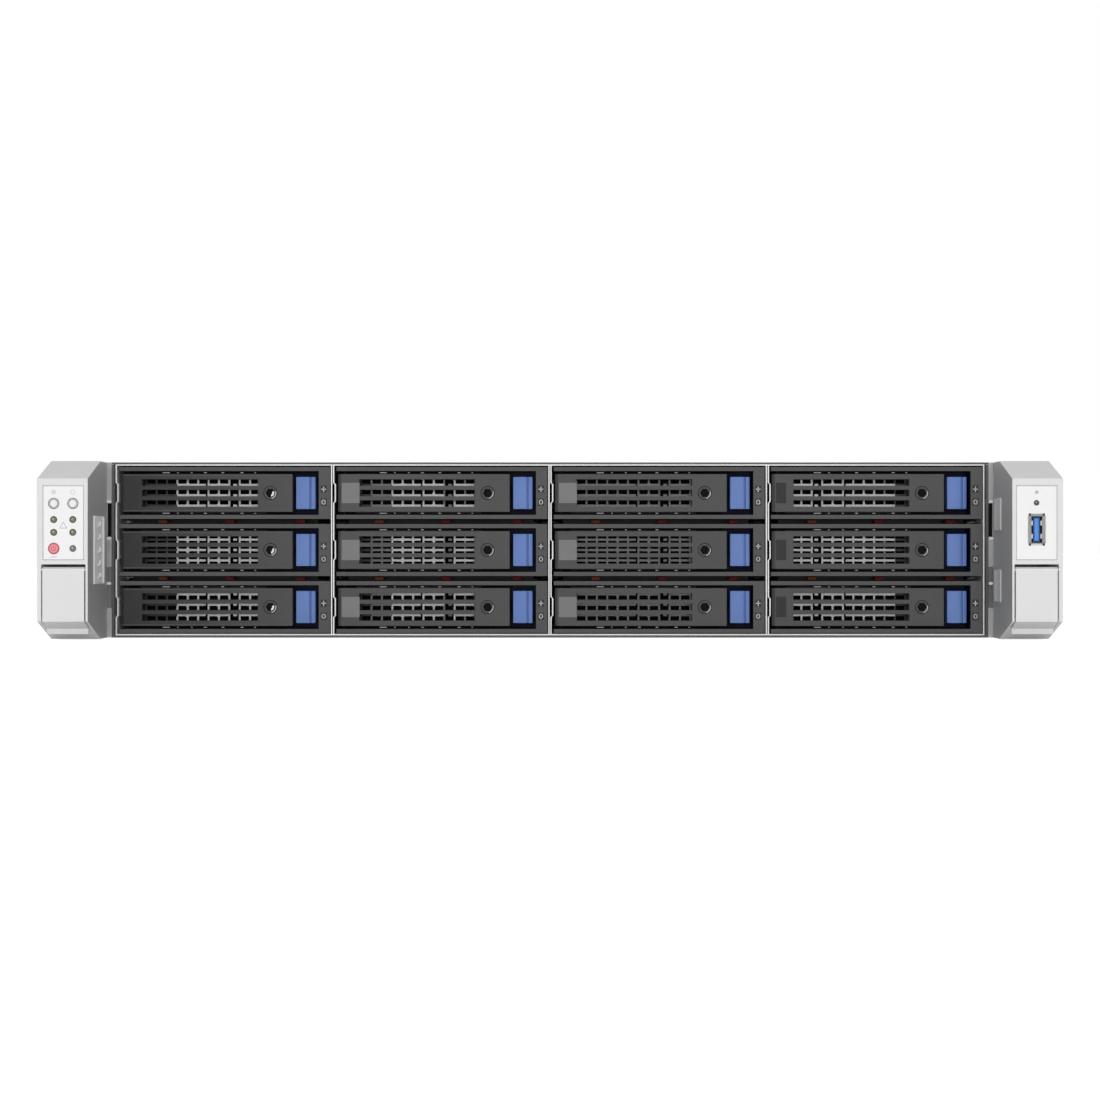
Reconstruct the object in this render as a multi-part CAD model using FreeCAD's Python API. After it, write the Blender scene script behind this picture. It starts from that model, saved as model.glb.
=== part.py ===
import FreeCAD
import Part
import math
import os

# 2U rack server with twelve front drive bays, in millimetres.
# +Z is up, the front faces -Y and +X is to the right when the front is seen.
# The origin lies at the bottom centre of the whole box around the server.

# ---- Rack interface and outer case ----
RACK_WIDTH = 482.6
RACK_SCREW_INSET = 8.75
RACK_SCREW_HEIGHT = 20.8
CASE_INSET = 26.3
CASE_HEIGHT = 86.0
CASE_DEPTH = 690.0
SHEET = 1.2
COVER_SHEET = 1.0
COVER_SEAM = 0.6

# ---- Drive bays ----
COLUMNS = 4
ROWS = 3
CAGE_FIT = 0.6
ROW_MARGIN = 1.0
CAGE_SHEET = 0.6
CAGE_FOLD_GAP = 0.4
RIB_JOG = 0.8
RIB_HEIGHT = 10.0
RUNNER_WIDTH = 4.0
RUNNER_THICKNESS = 1.0
RUNNER_START = 22.0

# ---- Drive carrier ----
BEZEL_SIDE_GAP = 1.55
BEZEL_ROW_GAP = 2.5
BEZEL_DEPTH = 13.0
BEZEL_SETBACK = 0.5
BEZEL_SHIFT = 0.3
BEZEL_LIP = 2.0
BEZEL_BACK = 1.5
STATUS_STRIP = 5.6
GRILLE_BAR = 1.2
GRILLE_ROWS = 3
GRILLE_THICKNESS = 0.8
GRILLE_MARGIN = 1.5
DRIVE_SIDE_GAP = 0.95
DRIVE_ROW_GAP = 1.9
DRIVE_LENGTH = 147.0
DRIVE_GAP = 2.0
RAIL_THICKNESS = 0.8
RAIL_HEIGHT = 18.0
PLUG_WIDTH = 42.0
PLUG_HEIGHT = 5.0
PLUG_DEPTH = 3.0

# ---- Ejector lever and its release button ----
LEVER_MARGIN = 3.45
LEVER_THICKNESS = 6.0
LEVER_INSET = 0.6
LEVER_CHAMFER = 1.5
LEVER_SETBACK = 0.4
SLOT_START = 10.5
SLOT_END = 17.0
SLOT_EDGE = 2.55
SLOT_BAR = 1.95
PIVOT_RADIUS = 0.9
PIVOT_CLEARANCE = 0.05
BUTTON_POCKET = 13.0
BUTTON_SIDE_GAP = 1.75
BUTTON_MARGIN = 1.4
BUTTON_BULGE = 0.7
BUTTON_GROOVE = 0.8
BUTTON_TRAVEL = 2.0
BUTTON_STEM = 4.0
LOCK_SETBACK = 10.8
LOCK_RADIUS = 2.2
LOCK_DEPTH = 1.5
FIT_CLEARANCE = 0.2

# ---- Rack ears ----
EAR_WIDTH = 24.0
EAR_DEPTH = 38.0
EAR_SLOPE_DEPTH = 25.0
EAR_SLOPE_RISE = 9.3
EAR_WALL = 2.0
EAR_INNER_WALL = 1.2
EAR_FRONT_WALL = 2.6
EAR_WEB = 2.2
EAR_STRIP_DEPTH = 17.0
EAR_STRIP_HEIGHT = 32.5
EAR_STRIP_SETBACK = 10.3
EAR_STRIP_RAISE = 0.6
EAR_RIB_DEPTH = 9.7
EAR_RIB_HEIGHT = 15.5
EAR_RIB_OFFSET = 17.3
EAR_RIB_SETBACK = 7.2
NOTCH_COUNT = 5
NOTCH_PITCH = 6.2
NOTCH_SIZE = 1.6
BRACKET_SHEET = 2.0
BRACKET_LEG = 60.0
BRACKET_LEG_MARGIN = 8.0
BRACKET_SLITS = ((6.4, 23.0), (-28.4, -8.3))
BRACKET_SLIT_DEPTH = 20.0
DUCT_WIDTH = 5.0
DUCT_LENGTH = 38.0
DUCT_TAPER = 12.0

# ---- Panels in the ears ----
PANEL_WIDTH = 19.0
PANEL_HEIGHT = 34.8
PANEL_THICKNESS = 1.2
PANEL_SETBACK = 0.3
PANEL_TOP_GAP = 3.5
PANEL_LEDGE = 1.0
PANEL_CORNER = 1.0
KEY_COLUMN = 4.5
KEY_RISE = 9.1
KEY_RADIUS = 2.2
POWER_RADIUS = 2.45
POWER_RISE = -12.1
KEY_CLEARANCE = 0.15
KEY_TRAVEL = 0.8
KEY_BAR = 0.8
KEY_BOARD_SETBACK = 9.0
KEY_BOARD_SHEET = 1.2
USB_RISE = -3.2
USB_WIDTH = 5.9
USB_HEIGHT = 13.3
USB_LIP = 0.8
USB_SHEET = 0.4
USB_DEPTH = 14.0
USB_TONGUE = 3.4
USB_TONGUE_HEIGHT = 11.6

# ---- Flaps over the rack screws ----
FLAP_WIDTH = 19.6
FLAP_GAP = 0.6
FLAP_THICKNESS = 1.8
FLAP_EYE = 1.3
FLAP_CHAMFER = 0.8
FLAP_TOP_GAP = 1.2
FLAP_REACH = 9.7
FLAP_LIP = 2.6
FLAP_PIN_RADIUS = 0.7
SCREW_RADIUS = 3.0
SCREW_HEAD_RADIUS = 5.0
SCREW_HEAD_LENGTH = 7.0
SCREW_NECK = 2.4
SCREW_LENGTH = 12.0
SCREW_CLEARANCE = 0.3
SCREW_HEAD_SIDES = 12

# ---- Backplane and fans ----
BACKPLANE_SHEET = 2.0
BACKPLANE_MARGIN = 4.0
BACKPLANE_EDGE = 5.0
BACKPLANE_VENT_GAP = 10.3
SOCKET_DEPTH = 5.0
FAN_COUNT = 3
FAN_SIDE_GAP = 12.2
FAN_HEADROOM = 3.8
FAN_DEPTH = 38.0
FAN_SETBACK = 40.0
FAN_RIM = 2.0
FAN_SIDES = 24
FAN_TIP_GAP = 4.0
FAN_HUB = 16.0
FAN_HUB_LENGTH = 26.0
FAN_HUB_GAP = 2.0
FAN_BLADES = 5
FAN_BLADE_THICKNESS = 1.2
FAN_BLADE_CHORD = 24.0
FAN_BLADE_ANGLE = 38.0
FAN_MOTOR = 28.0
FAN_SPIDER = 4.0
FAN_SPIDER_DEPTH = 4.0
FAN_SHAFT = 2.0
FAN_SHAFT_CLEARANCE = 0.05

# ---- Mainboard ----
BOARD_STANDOFF = 6.0
BOARD_SHEET = 1.6
BOARD_FRONT_GAP = 12.0
BOARD_SIDE_GAP = 6.0
BOARD_REAR_GAP = 3.0
STANDOFF_RADIUS = 3.5
SINK_WIDTH = 78.0
SINK_LENGTH = 108.0
SINK_HEADROOM = 7.2
SINK_BASE = 5.0
SINK_FINS = 11
SINK_FIN = 1.0
SINK_SIDE_GAP = 110.0
SINK_FRONT_GAP = 34.0
CPU_HEIGHT = 7.0
CPU_WIDTH = 58.0
MEMORY_PER_SIDE = 3
MEMORY_PITCH = 9.0
MEMORY_GAP = 8.0
MEMORY_LENGTH = 133.0
MEMORY_HEIGHT = 28.0
MEMORY_SHEET = 1.4
MEMORY_SLOT_LENGTH = 142.0
MEMORY_SLOT_WIDTH = 6.5
MEMORY_SLOT_HEIGHT = 8.0

# ---- Rear: supplies, risers and ports ----
PSU_WIDTH = 73.5
PSU_ROOM = 1.4
PSU_LENGTH = 185.0
PSU_CLEARANCE = 0.5
PSU_SHELF = 1.0
PSU_HANDLE_REACH = 20.0
PSU_HANDLE_WIDTH = 30.0
PSU_HANDLE_BAR = 4.0
PSU_HANDLE_THICKNESS = 6.0
INLET_WIDTH = 27.0
INLET_HEIGHT = 20.0
PSU_WALL = 1.0
PSU_VENTS = 5
PSU_VENT_PITCH = 6.4
PSU_VENT_WIDTH = 3.6
PSU_VENT_HEIGHT = 9.0
INLET_WALL = 1.6
INLET_DEPTH = 17.0
INLET_BLADE_LENGTH = 11.0
INLET_BLADE_WIDTH = 2.0
INLET_BLADE_HEIGHT = 4.0
INLET_BLADES = ((-7.0, -2.0), (0.0, 2.0), (7.0, -2.0))
SLOT_COVERS = 3
SLOT_RISE = 2.54
SLOT_COVER_WIDTH = 120.0
SLOT_COVER_GAP = 1.92
RISER_COUNT = 2
RISER_PITCH = 136.0
RISER_DEPTH = 150.0
RISER_SHEET = 1.0
VENT_SLOTS = 3
VENT_SLOT_WIDTH = 26.0
VENT_SLOT_HEIGHT = 4.0
REAR_VENTS = 6
REAR_VENT_GAP = 12.0
REAR_VENT_HEIGHT = 4.0
REAR_VENT_PITCH = 10.0
PORT_HEIGHT = 12.5
PORT_DEPTH = 16.0
PORT_WALL = 1.0
NETWORK_PORT = 15.5
VIDEO_PORT = 30.0
PORT_GAP = 10.0
COVER_SKIRT = 9.0
COVER_EMBOSS = 0.5
COVER_PAD_LENGTH = 70.0
COVER_PAD_WIDTH = 24.0
COVER_PAD_SETBACK = 30.0
COVER_BEADS = 4
COVER_BEAD_WIDTH = 6.0
COVER_BEAD_MARGIN = 45.0
COVER_TRAVEL = 14.0

# ---- Places worked out from the sizes above ----
TOTAL_DEPTH = EAR_DEPTH + CASE_DEPTH + PSU_HANDLE_REACH
FLANGE_Y = EAR_DEPTH - TOTAL_DEPTH / 2
REAR_Y = FLANGE_Y + CASE_DEPTH
EAR_FRONT_Y = FLANGE_Y - EAR_DEPTH
MIDDLE_Z = CASE_HEIGHT / 2
CASE_SIDE = RACK_WIDTH / 2 - CASE_INSET
CAGE_SIDE = CASE_SIDE - SHEET - CAGE_FIT
COLUMN_PITCH = 2 * CAGE_SIDE / COLUMNS
ROW_PITCH = (CASE_HEIGHT - 2 * ROW_MARGIN) / ROWS
RACK_SCREW_X = RACK_WIDTH / 2 - RACK_SCREW_INSET
EAR_OUTER = RACK_WIDTH / 2
EAR_INNER = EAR_OUTER - EAR_WIDTH
EAR_SLOT_OUTER = EAR_OUTER - EAR_WALL
EAR_SLOT_INNER = EAR_INNER + EAR_INNER_WALL
EAR_MIDDLE = (EAR_SLOT_OUTER + EAR_SLOT_INNER) / 2
BEZEL_WIDTH = COLUMN_PITCH - 2 * BEZEL_SIDE_GAP
BEZEL_HEIGHT = ROW_PITCH - BEZEL_ROW_GAP
BEZEL_Y = FLANGE_Y + BEZEL_SETBACK
BEZEL_END = BEZEL_Y + BEZEL_DEPTH
LEVER_Y = BEZEL_Y + LEVER_SETBACK
LEVER_LENGTH = BEZEL_WIDTH - LEVER_INSET - BUTTON_POCKET - STATUS_STRIP
LEVER_HEIGHT = BEZEL_HEIGHT - 2 * LEVER_MARGIN
SLOT_LENGTH = LEVER_LENGTH - SLOT_START - SLOT_END
SLOT_HEIGHT = (LEVER_HEIGHT - 2 * SLOT_EDGE - (GRILLE_ROWS - 1) * SLOT_BAR) / GRILLE_ROWS
GRILLE_PITCH = SLOT_HEIGHT + SLOT_BAR
BUTTON_WIDTH = BUTTON_POCKET - 2 * BUTTON_SIDE_GAP
BUTTON_HEIGHT = LEVER_HEIGHT - 2 * BUTTON_MARGIN
DRIVE_WIDTH = BEZEL_WIDTH - 2 * DRIVE_SIDE_GAP
DRIVE_HEIGHT = ROW_PITCH - DRIVE_ROW_GAP
DRIVE_Y = BEZEL_END + DRIVE_GAP
DRIVE_END = DRIVE_Y + DRIVE_LENGTH
BACKPLANE_Y = DRIVE_END + PLUG_DEPTH + FIT_CLEARANCE + SOCKET_DEPTH
BACKPLANE_HEIGHT = CASE_HEIGHT - 2 * BACKPLANE_MARGIN
COVER_Z = CASE_HEIGHT - COVER_SHEET
FAN_SIZE = COVER_Z - SHEET - FAN_HEADROOM
FAN_BORE = FAN_SIZE / 2 - FAN_RIM
FAN_TIP = FAN_BORE - FAN_TIP_GAP
FAN_PITCH = 2 * (CAGE_SIDE - FAN_SIDE_GAP) / FAN_COUNT
FAN_Y = BACKPLANE_Y + BACKPLANE_SHEET + FAN_SETBACK
SEAM_Y = FAN_Y - FAN_SETBACK / 2
BOARD_Y = FAN_Y + FAN_DEPTH + BOARD_FRONT_GAP
BOARD_Z = SHEET + BOARD_STANDOFF
BOARD_TOP = BOARD_Z + BOARD_SHEET
SINK_HEIGHT = COVER_Z - SINK_HEADROOM - BOARD_TOP - CPU_HEIGHT
SLOT_TOP = COVER_Z - FIT_CLEARANCE
SLOT_BOTTOM = BOARD_TOP + PORT_HEIGHT + SLOT_RISE
SLOT_PITCH = (SLOT_TOP - SLOT_BOTTOM) / SLOT_COVERS
SLOT_COVER_HEIGHT = SLOT_PITCH - SLOT_COVER_GAP
PSU_BAY = (COVER_Z - SHEET - PSU_SHELF) / 2
PSU_HEIGHT = PSU_BAY - PSU_ROOM
PSU_OUTER = CASE_SIDE - SHEET - PSU_CLEARANCE
PSU_INNER = PSU_OUTER - PSU_WIDTH
PSU_Y = REAR_Y - PSU_LENGTH
PANEL_Z = CASE_HEIGHT - EAR_SLOPE_RISE - PANEL_TOP_GAP - PANEL_HEIGHT / 2
PANEL_Y = EAR_FRONT_Y + PANEL_SETBACK
FLAP_HALF = FLAP_WIDTH / 2


# ---- Shape helpers ----
def vec(x, y, z):
    return FreeCAD.Vector(x, y, z)


def box(x0, x1, y0, y1, z0, z1):
    return Part.makeBox(x1 - x0, y1 - y0, z1 - z0, vec(x0, y0, z0))


def block(x, y0, y1, z, width, height):
    """A box centred on x and z that runs from y0 to y1."""
    return box(x - width / 2, x + width / 2, y0, y1, z - height / 2, z + height / 2)


def rod_y(x, y0, y1, z, radius):
    return Part.makeCylinder(radius, y1 - y0, vec(x, y0, z), vec(0, 1, 0))


def rod_x(x0, x1, y, z, radius):
    return Part.makeCylinder(radius, x1 - x0, vec(x0, y, z), vec(1, 0, 0))


def rod_z(x, y, z0, z1, radius):
    return Part.makeCylinder(radius, z1 - z0, vec(x, y, z0), vec(0, 0, 1))


def polygon(points):
    return Part.Face(Part.makePolygon(points + points[:1]))


def extrude_x(points, x0, x1):
    """Extrude an outline of (y, z) points from x0 to x1."""
    return polygon([vec(x0, y, z) for y, z in points]).extrude(vec(x1 - x0, 0, 0))


def extrude_y(points, y0, y1):
    """Extrude an outline of (x, z) points from y0 to y1."""
    return polygon([vec(x, y0, z) for x, z in points]).extrude(vec(0, y1 - y0, 0))


def extrude_z(points, z0, z1):
    """Extrude an outline of (x, y) points from z0 to z1."""
    return polygon([vec(x, y, z0) for x, y in points]).extrude(vec(0, 0, z1 - z0))


def hexagon_z(x, y, z0, z1, radius):
    corners = [math.radians(60 * i) for i in range(6)]
    return extrude_z([(x + radius * math.cos(a), y + radius * math.sin(a)) for a in corners], z0, z1)


def prism_y(x, y0, y1, z, radius, sides):
    """A many-sided prism along Y whose corners lie at the radius."""
    corners = [2 * math.pi * i / sides for i in range(sides)]
    return extrude_y([(x + radius * math.cos(a), z + radius * math.sin(a)) for a in corners], y0, y1)


def rounded_plate(x, y0, y1, z, width, height, radius):
    """A plate square to Y with its four corners rounded."""
    plate = block(x, y0, y1, z, width, height)
    corners = [edge for edge in plate.Edges if abs(edge.tangentAt(edge.FirstParameter).y) > 0.5]
    return plate.makeFillet(radius, corners)


def fuse(shapes):
    return shapes[0].multiFuse(shapes[1:]).removeSplitter()


def mirrored(shape):
    return shape.mirror(vec(0, 0, 0), vec(1, 0, 0))


def save(name, solids):
    shape = solids[0] if len(solids) == 1 else Part.makeCompound(solids)
    shape.exportStep("parts/" + name + ".step")


# ---- Drive cage ----
def column_edge(column):
    """X of the boundary to the left of a column."""
    return -CAGE_SIDE + column * COLUMN_PITCH


def row_middle(row):
    return MIDDLE_Z + (row - (ROWS - 1) / 2) * ROW_PITCH


def ribbed_sheet(x, z0, z1, y0, y1):
    """A vertical sheet whose face steps out at the middle of each row to guide the carriers."""
    left = [(x, z0)]
    for row in range(ROWS):
        low = row_middle(row) - RIB_HEIGHT / 2
        high = row_middle(row) + RIB_HEIGHT / 2
        left += [(x, low), (x + RIB_JOG, low + RIB_JOG), (x + RIB_JOG, high - RIB_JOG), (x, high)]
    left.append((x, z1))
    right = [(px + CAGE_SHEET, pz) for px, pz in reversed(left)]
    return extrude_y(left + right, y0, y1)


def cage_runners(column):
    """Narrow shelves between the rows, one on each side of a column."""
    left = column_edge(column) + (CAGE_FOLD_GAP + CAGE_SHEET) / 2
    right = column_edge(column + 1) - CAGE_FOLD_GAP / 2
    runners = []
    for row in range(1, ROWS):
        z0 = row_middle(row) - (ROW_PITCH + RUNNER_THICKNESS) / 2
        z1 = z0 + RUNNER_THICKNESS
        y0 = FLANGE_Y + RUNNER_START
        runners.append(box(left, left + RUNNER_WIDTH, y0, DRIVE_END, z0, z1))
        runners.append(box(right - RUNNER_WIDTH, right, y0, DRIVE_END, z0, z1))
    return runners


def drive_cage():
    z0 = SHEET
    z1 = COVER_Z
    y0 = FLANGE_Y
    y1 = BACKPLANE_Y
    edge = CAGE_SIDE - CAGE_FOLD_GAP / 2
    pieces = [box(-edge, edge, y0, y1, z0, z0 + CAGE_SHEET)]
    pieces.append(box(-edge, edge, y0, y1, z1 - CAGE_SHEET, z1))
    for column in range(COLUMNS):
        left = column_edge(column) + CAGE_FOLD_GAP / 2
        right = column_edge(column + 1) - CAGE_FOLD_GAP / 2
        pieces.append(ribbed_sheet(left, z0, z1, y0, y1))
        pieces.append(box(right - CAGE_SHEET, right, y0, y1, z0, z1))
        pieces += cage_runners(column)
    return fuse(pieces)


# ---- Drive carrier, lever and release button ----
def bezel_left(column):
    return column_edge(column) + (COLUMN_PITCH - BEZEL_WIDTH) / 2 + BEZEL_SHIFT


def pivot_place(column):
    """X and Y of the lever's pin, midway through the lever's thickness."""
    radius = LEVER_THICKNESS / 2
    return bezel_left(column) + LEVER_INSET + radius, LEVER_Y + radius


def button_middle(column):
    pocket_left = bezel_left(column) + LEVER_INSET + LEVER_LENGTH
    pocket_right = bezel_left(column) + BEZEL_WIDTH - STATUS_STRIP
    return (pocket_left + pocket_right) / 2


def lever(column, row):
    """A slotted lever with a pin's bore at its left end and a hexagonal lock socket at its right."""
    left = bezel_left(column) + LEVER_INSET
    right = left + LEVER_LENGTH
    z = row_middle(row)
    z0 = z - LEVER_HEIGHT / 2
    z1 = z + LEVER_HEIGHT / 2
    pivot_x, pivot_y = pivot_place(column)
    y0 = LEVER_Y
    y1 = LEVER_Y + LEVER_THICKNESS
    outline = [(left, y0 + LEVER_CHAMFER), (left + LEVER_CHAMFER, y0), (right, y0), (right, y1),
               (left + LEVER_CHAMFER, y1), (left, y1 - LEVER_CHAMFER)]
    bar = extrude_z(outline, z0, z1)
    tools = [rod_z(pivot_x, pivot_y, z0, z1, PIVOT_RADIUS + PIVOT_CLEARANCE)]
    slot_x = left + SLOT_START + SLOT_LENGTH / 2
    for line in range(GRILLE_ROWS):
        slot_z = z + (line - (GRILLE_ROWS - 1) / 2) * GRILLE_PITCH
        tools.append(block(slot_x, y0, y1, slot_z, SLOT_LENGTH, SLOT_HEIGHT))
    tools.append(prism_y(right - LOCK_SETBACK, y0, y0 + LOCK_DEPTH, z, LOCK_RADIUS, 6))
    return bar.cut(tools)


def release_button(column, row):
    """A cap with a bowed front and a thumb groove, on a stem that slides in the bezel's back."""
    x = button_middle(column)
    z = row_middle(row)
    x0 = x - BUTTON_WIDTH / 2
    x1 = x + BUTTON_WIDTH / 2
    y0 = LEVER_Y + BUTTON_BULGE
    y1 = BEZEL_END - BEZEL_BACK - BUTTON_TRAVEL - FIT_CLEARANCE
    z0 = z - BUTTON_HEIGHT / 2
    bow = Part.Arc(vec(x0, y0, z0), vec(x, LEVER_Y, z0), vec(x1, y0, z0)).toShape()
    back = Part.makePolygon([vec(x1, y0, z0), vec(x1, y1, z0), vec(x0, y1, z0), vec(x0, y0, z0)])
    cap = Part.Face(Part.Wire([bow] + back.Edges)).extrude(vec(0, 0, BUTTON_HEIGHT))
    groove = block(x + BUTTON_WIDTH / 4, LEVER_Y, y0 + BUTTON_GROOVE, z, BUTTON_GROOVE, BUTTON_HEIGHT)
    stem = block(x, y1, BEZEL_END, z, BUTTON_STEM, BUTTON_STEM)
    return fuse([cap.cut(groove), stem])


def screen(x0, x1, z):
    """A metal screen behind the lever, with one window behind each of its slots."""
    y1 = BEZEL_END - BEZEL_BACK
    height = GRILLE_ROWS * GRILLE_PITCH + GRILLE_BAR + 2 * GRILLE_MARGIN
    edge = GRILLE_MARGIN + GRILLE_BAR
    windows = []
    for line in range(GRILLE_ROWS):
        window_z = z + (line - (GRILLE_ROWS - 1) / 2) * GRILLE_PITCH
        windows.append(block((x0 + x1) / 2, y1 - GRILLE_THICKNESS, y1, window_z,
                             x1 - x0 - 2 * edge, GRILLE_PITCH - GRILLE_BAR))
    return block((x0 + x1) / 2, y1 - GRILLE_THICKNESS, y1, z, x1 - x0, height).cut(windows)


def carrier(column, row):
    left = bezel_left(column)
    right = left + BEZEL_WIDTH
    z = row_middle(row)
    z0 = z - BEZEL_HEIGHT / 2
    z1 = z + BEZEL_HEIGHT / 2
    back = BEZEL_END - BEZEL_BACK
    screen_left = left + LEVER_INSET + SLOT_START - GRILLE_BAR - GRILLE_MARGIN
    screen_right = screen_left + SLOT_LENGTH + 2 * (GRILLE_BAR + GRILLE_MARGIN)
    window_height = GRILLE_ROWS * GRILLE_PITCH + GRILLE_BAR
    pocket_end = right - STATUS_STRIP
    tools = [box(left, pocket_end, BEZEL_Y, back, z0 + BEZEL_LIP, z1 - BEZEL_LIP)]
    tools.append(box(screen_left + GRILLE_MARGIN, screen_right - GRILLE_MARGIN, back, BEZEL_END,
                     z - window_height / 2, z + window_height / 2))
    stem_hole = BUTTON_STEM + 2 * FIT_CLEARANCE
    tools.append(block(button_middle(column), back, BEZEL_END, z, stem_hole, stem_hole))
    pivot_x, pivot_y = pivot_place(column)
    pin = rod_z(pivot_x, pivot_y, z0 + BEZEL_LIP, z1 - BEZEL_LIP, PIVOT_RADIUS)
    middle = (left + right) / 2
    drive = block(middle, DRIVE_Y, DRIVE_END, z, DRIVE_WIDTH, DRIVE_HEIGHT)
    plug = block(middle, DRIVE_END, DRIVE_END + PLUG_DEPTH, z, PLUG_WIDTH, PLUG_HEIGHT)
    frame = [box(left, right, BEZEL_Y, BEZEL_END, z0, z1).cut(tools)]
    for side in (1, -1):
        rail_x = middle + side * (DRIVE_WIDTH + RAIL_THICKNESS) / 2
        frame.append(block(rail_x, BEZEL_END, DRIVE_END, z, RAIL_THICKNESS, RAIL_HEIGHT))
    return [fuse(frame), drive, plug, pin, screen(screen_left, screen_right, z)]


# ---- Rack ears ----
def ear_outline():
    """Side view of the ear, with a slope at the top and at the bottom of its front."""
    top = CASE_HEIGHT
    y_slope = EAR_FRONT_Y + EAR_SLOPE_DEPTH
    return [(FLANGE_Y, 0), (y_slope, 0), (EAR_FRONT_Y, EAR_SLOPE_RISE),
            (EAR_FRONT_Y, top - EAR_SLOPE_RISE), (y_slope, top), (FLANGE_Y, top)]


def slope_height(y):
    """Height of the bottom slope's surface at a depth y."""
    return EAR_SLOPE_RISE * (1 - (y - EAR_FRONT_Y) / EAR_SLOPE_DEPTH)


def web_height():
    """Height of the web between the panel and the flap."""
    return PANEL_Z - PANEL_HEIGHT / 2 - EAR_WEB / 2


def flap_top():
    return web_height() - EAR_WEB / 2 - FLAP_TOP_GAP


def ear_shell():
    """The right-hand ear: a hollow moulding with a panel seat above and a flap opening below."""
    shell = extrude_x(ear_outline(), EAR_INNER, EAR_OUTER)
    web_top = web_height() + EAR_WEB / 2
    web_bottom = web_height() - EAR_WEB / 2
    y_slope = EAR_FRONT_Y + EAR_SLOPE_DEPTH
    front = EAR_FRONT_Y + EAR_FRONT_WALL
    top = CASE_HEIGHT - EAR_WALL
    upper = [(FLANGE_Y, web_top), (front, web_top), (front, CASE_HEIGHT - EAR_SLOPE_RISE - EAR_WALL),
             (y_slope, top), (FLANGE_Y, top)]
    lip_y = EAR_FRONT_Y + FLAP_REACH + FLAP_GAP
    lower = [(FLANGE_Y, EAR_WALL), (y_slope, EAR_WALL), (lip_y, slope_height(lip_y) + EAR_WALL),
             (lip_y, 0), (EAR_FRONT_Y, 0), (EAR_FRONT_Y, web_bottom), (FLANGE_Y, web_bottom)]
    tools = [extrude_x(upper, EAR_SLOT_INNER, EAR_SLOT_OUTER)]
    tools.append(extrude_x(lower, EAR_SLOT_INNER, EAR_SLOT_OUTER))
    seat_end = PANEL_Y + PANEL_THICKNESS
    tools.append(block(EAR_MIDDLE, EAR_FRONT_Y, seat_end, PANEL_Z,
                       PANEL_WIDTH + FIT_CLEARANCE, PANEL_HEIGHT + FIT_CLEARANCE))
    tools.append(block(EAR_MIDDLE, seat_end, front, PANEL_Z,
                       PANEL_WIDTH - 2 * PANEL_LEDGE, PANEL_HEIGHT - 2 * PANEL_LEDGE))
    pin_y, pin_z = flap_pivot()
    seat = FLAP_PIN_RADIUS + PIVOT_CLEARANCE
    tools.append(box(EAR_SLOT_INNER - EAR_INNER_WALL / 2, EAR_SLOT_OUTER + EAR_WALL / 2,
                     pin_y - seat, pin_y + seat, pin_z - seat, pin_z + seat))
    return shell.cut(tools)


def left_ear():
    """The left-hand ear has a raised strip with a row of notches on its inner side."""
    strip = box(EAR_INNER - EAR_STRIP_RAISE, EAR_INNER,
                FLANGE_Y - EAR_STRIP_SETBACK - EAR_STRIP_DEPTH, FLANGE_Y - EAR_STRIP_SETBACK,
                MIDDLE_Z - EAR_STRIP_HEIGHT / 2, MIDDLE_Z + EAR_STRIP_HEIGHT / 2)
    notch_y = FLANGE_Y - EAR_STRIP_SETBACK - EAR_STRIP_DEPTH / 2
    notches = []
    for i in range(NOTCH_COUNT):
        notch_z = MIDDLE_Z + (i - (NOTCH_COUNT - 1) / 2) * NOTCH_PITCH
        notches.append(box(EAR_INNER - EAR_STRIP_RAISE, EAR_INNER, notch_y - NOTCH_SIZE / 2,
                           notch_y + NOTCH_SIZE / 2, notch_z - NOTCH_SIZE / 2, notch_z + NOTCH_SIZE / 2))
    return mirrored(fuse([ear_shell(), strip.cut(notches)]))


def right_ear():
    """The right-hand ear has two raised ribs on its inner side."""
    ribs = []
    for side in (1, -1):
        rib_z = MIDDLE_Z + side * EAR_RIB_OFFSET
        ribs.append(box(EAR_INNER - EAR_STRIP_RAISE, EAR_INNER,
                        FLANGE_Y - EAR_RIB_SETBACK - EAR_RIB_DEPTH, FLANGE_Y - EAR_RIB_SETBACK,
                        rib_z - EAR_RIB_HEIGHT / 2, rib_z + EAR_RIB_HEIGHT / 2))
    return fuse([ear_shell()] + ribs)


def flap_pivot():
    """Y and Z of the flap's hinge, inside its thickened top edge."""
    return EAR_FRONT_Y + FLAP_EYE, flap_top() - FLAP_EYE


def flap():
    """The right-hand flap: flat face, slope and finger lip, hung on two moulded pins."""
    x0 = EAR_MIDDLE - FLAP_HALF
    x1 = EAR_MIDDLE + FLAP_HALF
    pin_y, pin_z = flap_pivot()
    bend_z = EAR_SLOPE_RISE
    lip_y = EAR_FRONT_Y + FLAP_REACH
    lip_z = slope_height(lip_y)
    inner_y = EAR_FRONT_Y + FLAP_THICKNESS
    top = flap_top()
    outline = [(EAR_FRONT_Y, top - FLAP_CHAMFER), (EAR_FRONT_Y, bend_z), (lip_y - FLAP_THICKNESS, lip_z),
               (lip_y - FLAP_THICKNESS, lip_z - FLAP_LIP), (lip_y, lip_z - FLAP_LIP),
               (lip_y, lip_z + FLAP_THICKNESS), (inner_y, bend_z + FLAP_THICKNESS),
               (inner_y, pin_z - FLAP_EYE), (pin_y + FLAP_EYE, pin_z - FLAP_EYE),
               (pin_y + FLAP_EYE, top - FLAP_CHAMFER), (pin_y, top), (EAR_FRONT_Y + FLAP_CHAMFER, top)]
    plate = extrude_x(outline, x0, x1)
    pins = rod_x(EAR_SLOT_INNER - EAR_INNER_WALL / 2, EAR_SLOT_OUTER + EAR_WALL / 2,
                 pin_y, pin_z, FLAP_PIN_RADIUS)
    return fuse([plate, pins])


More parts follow.
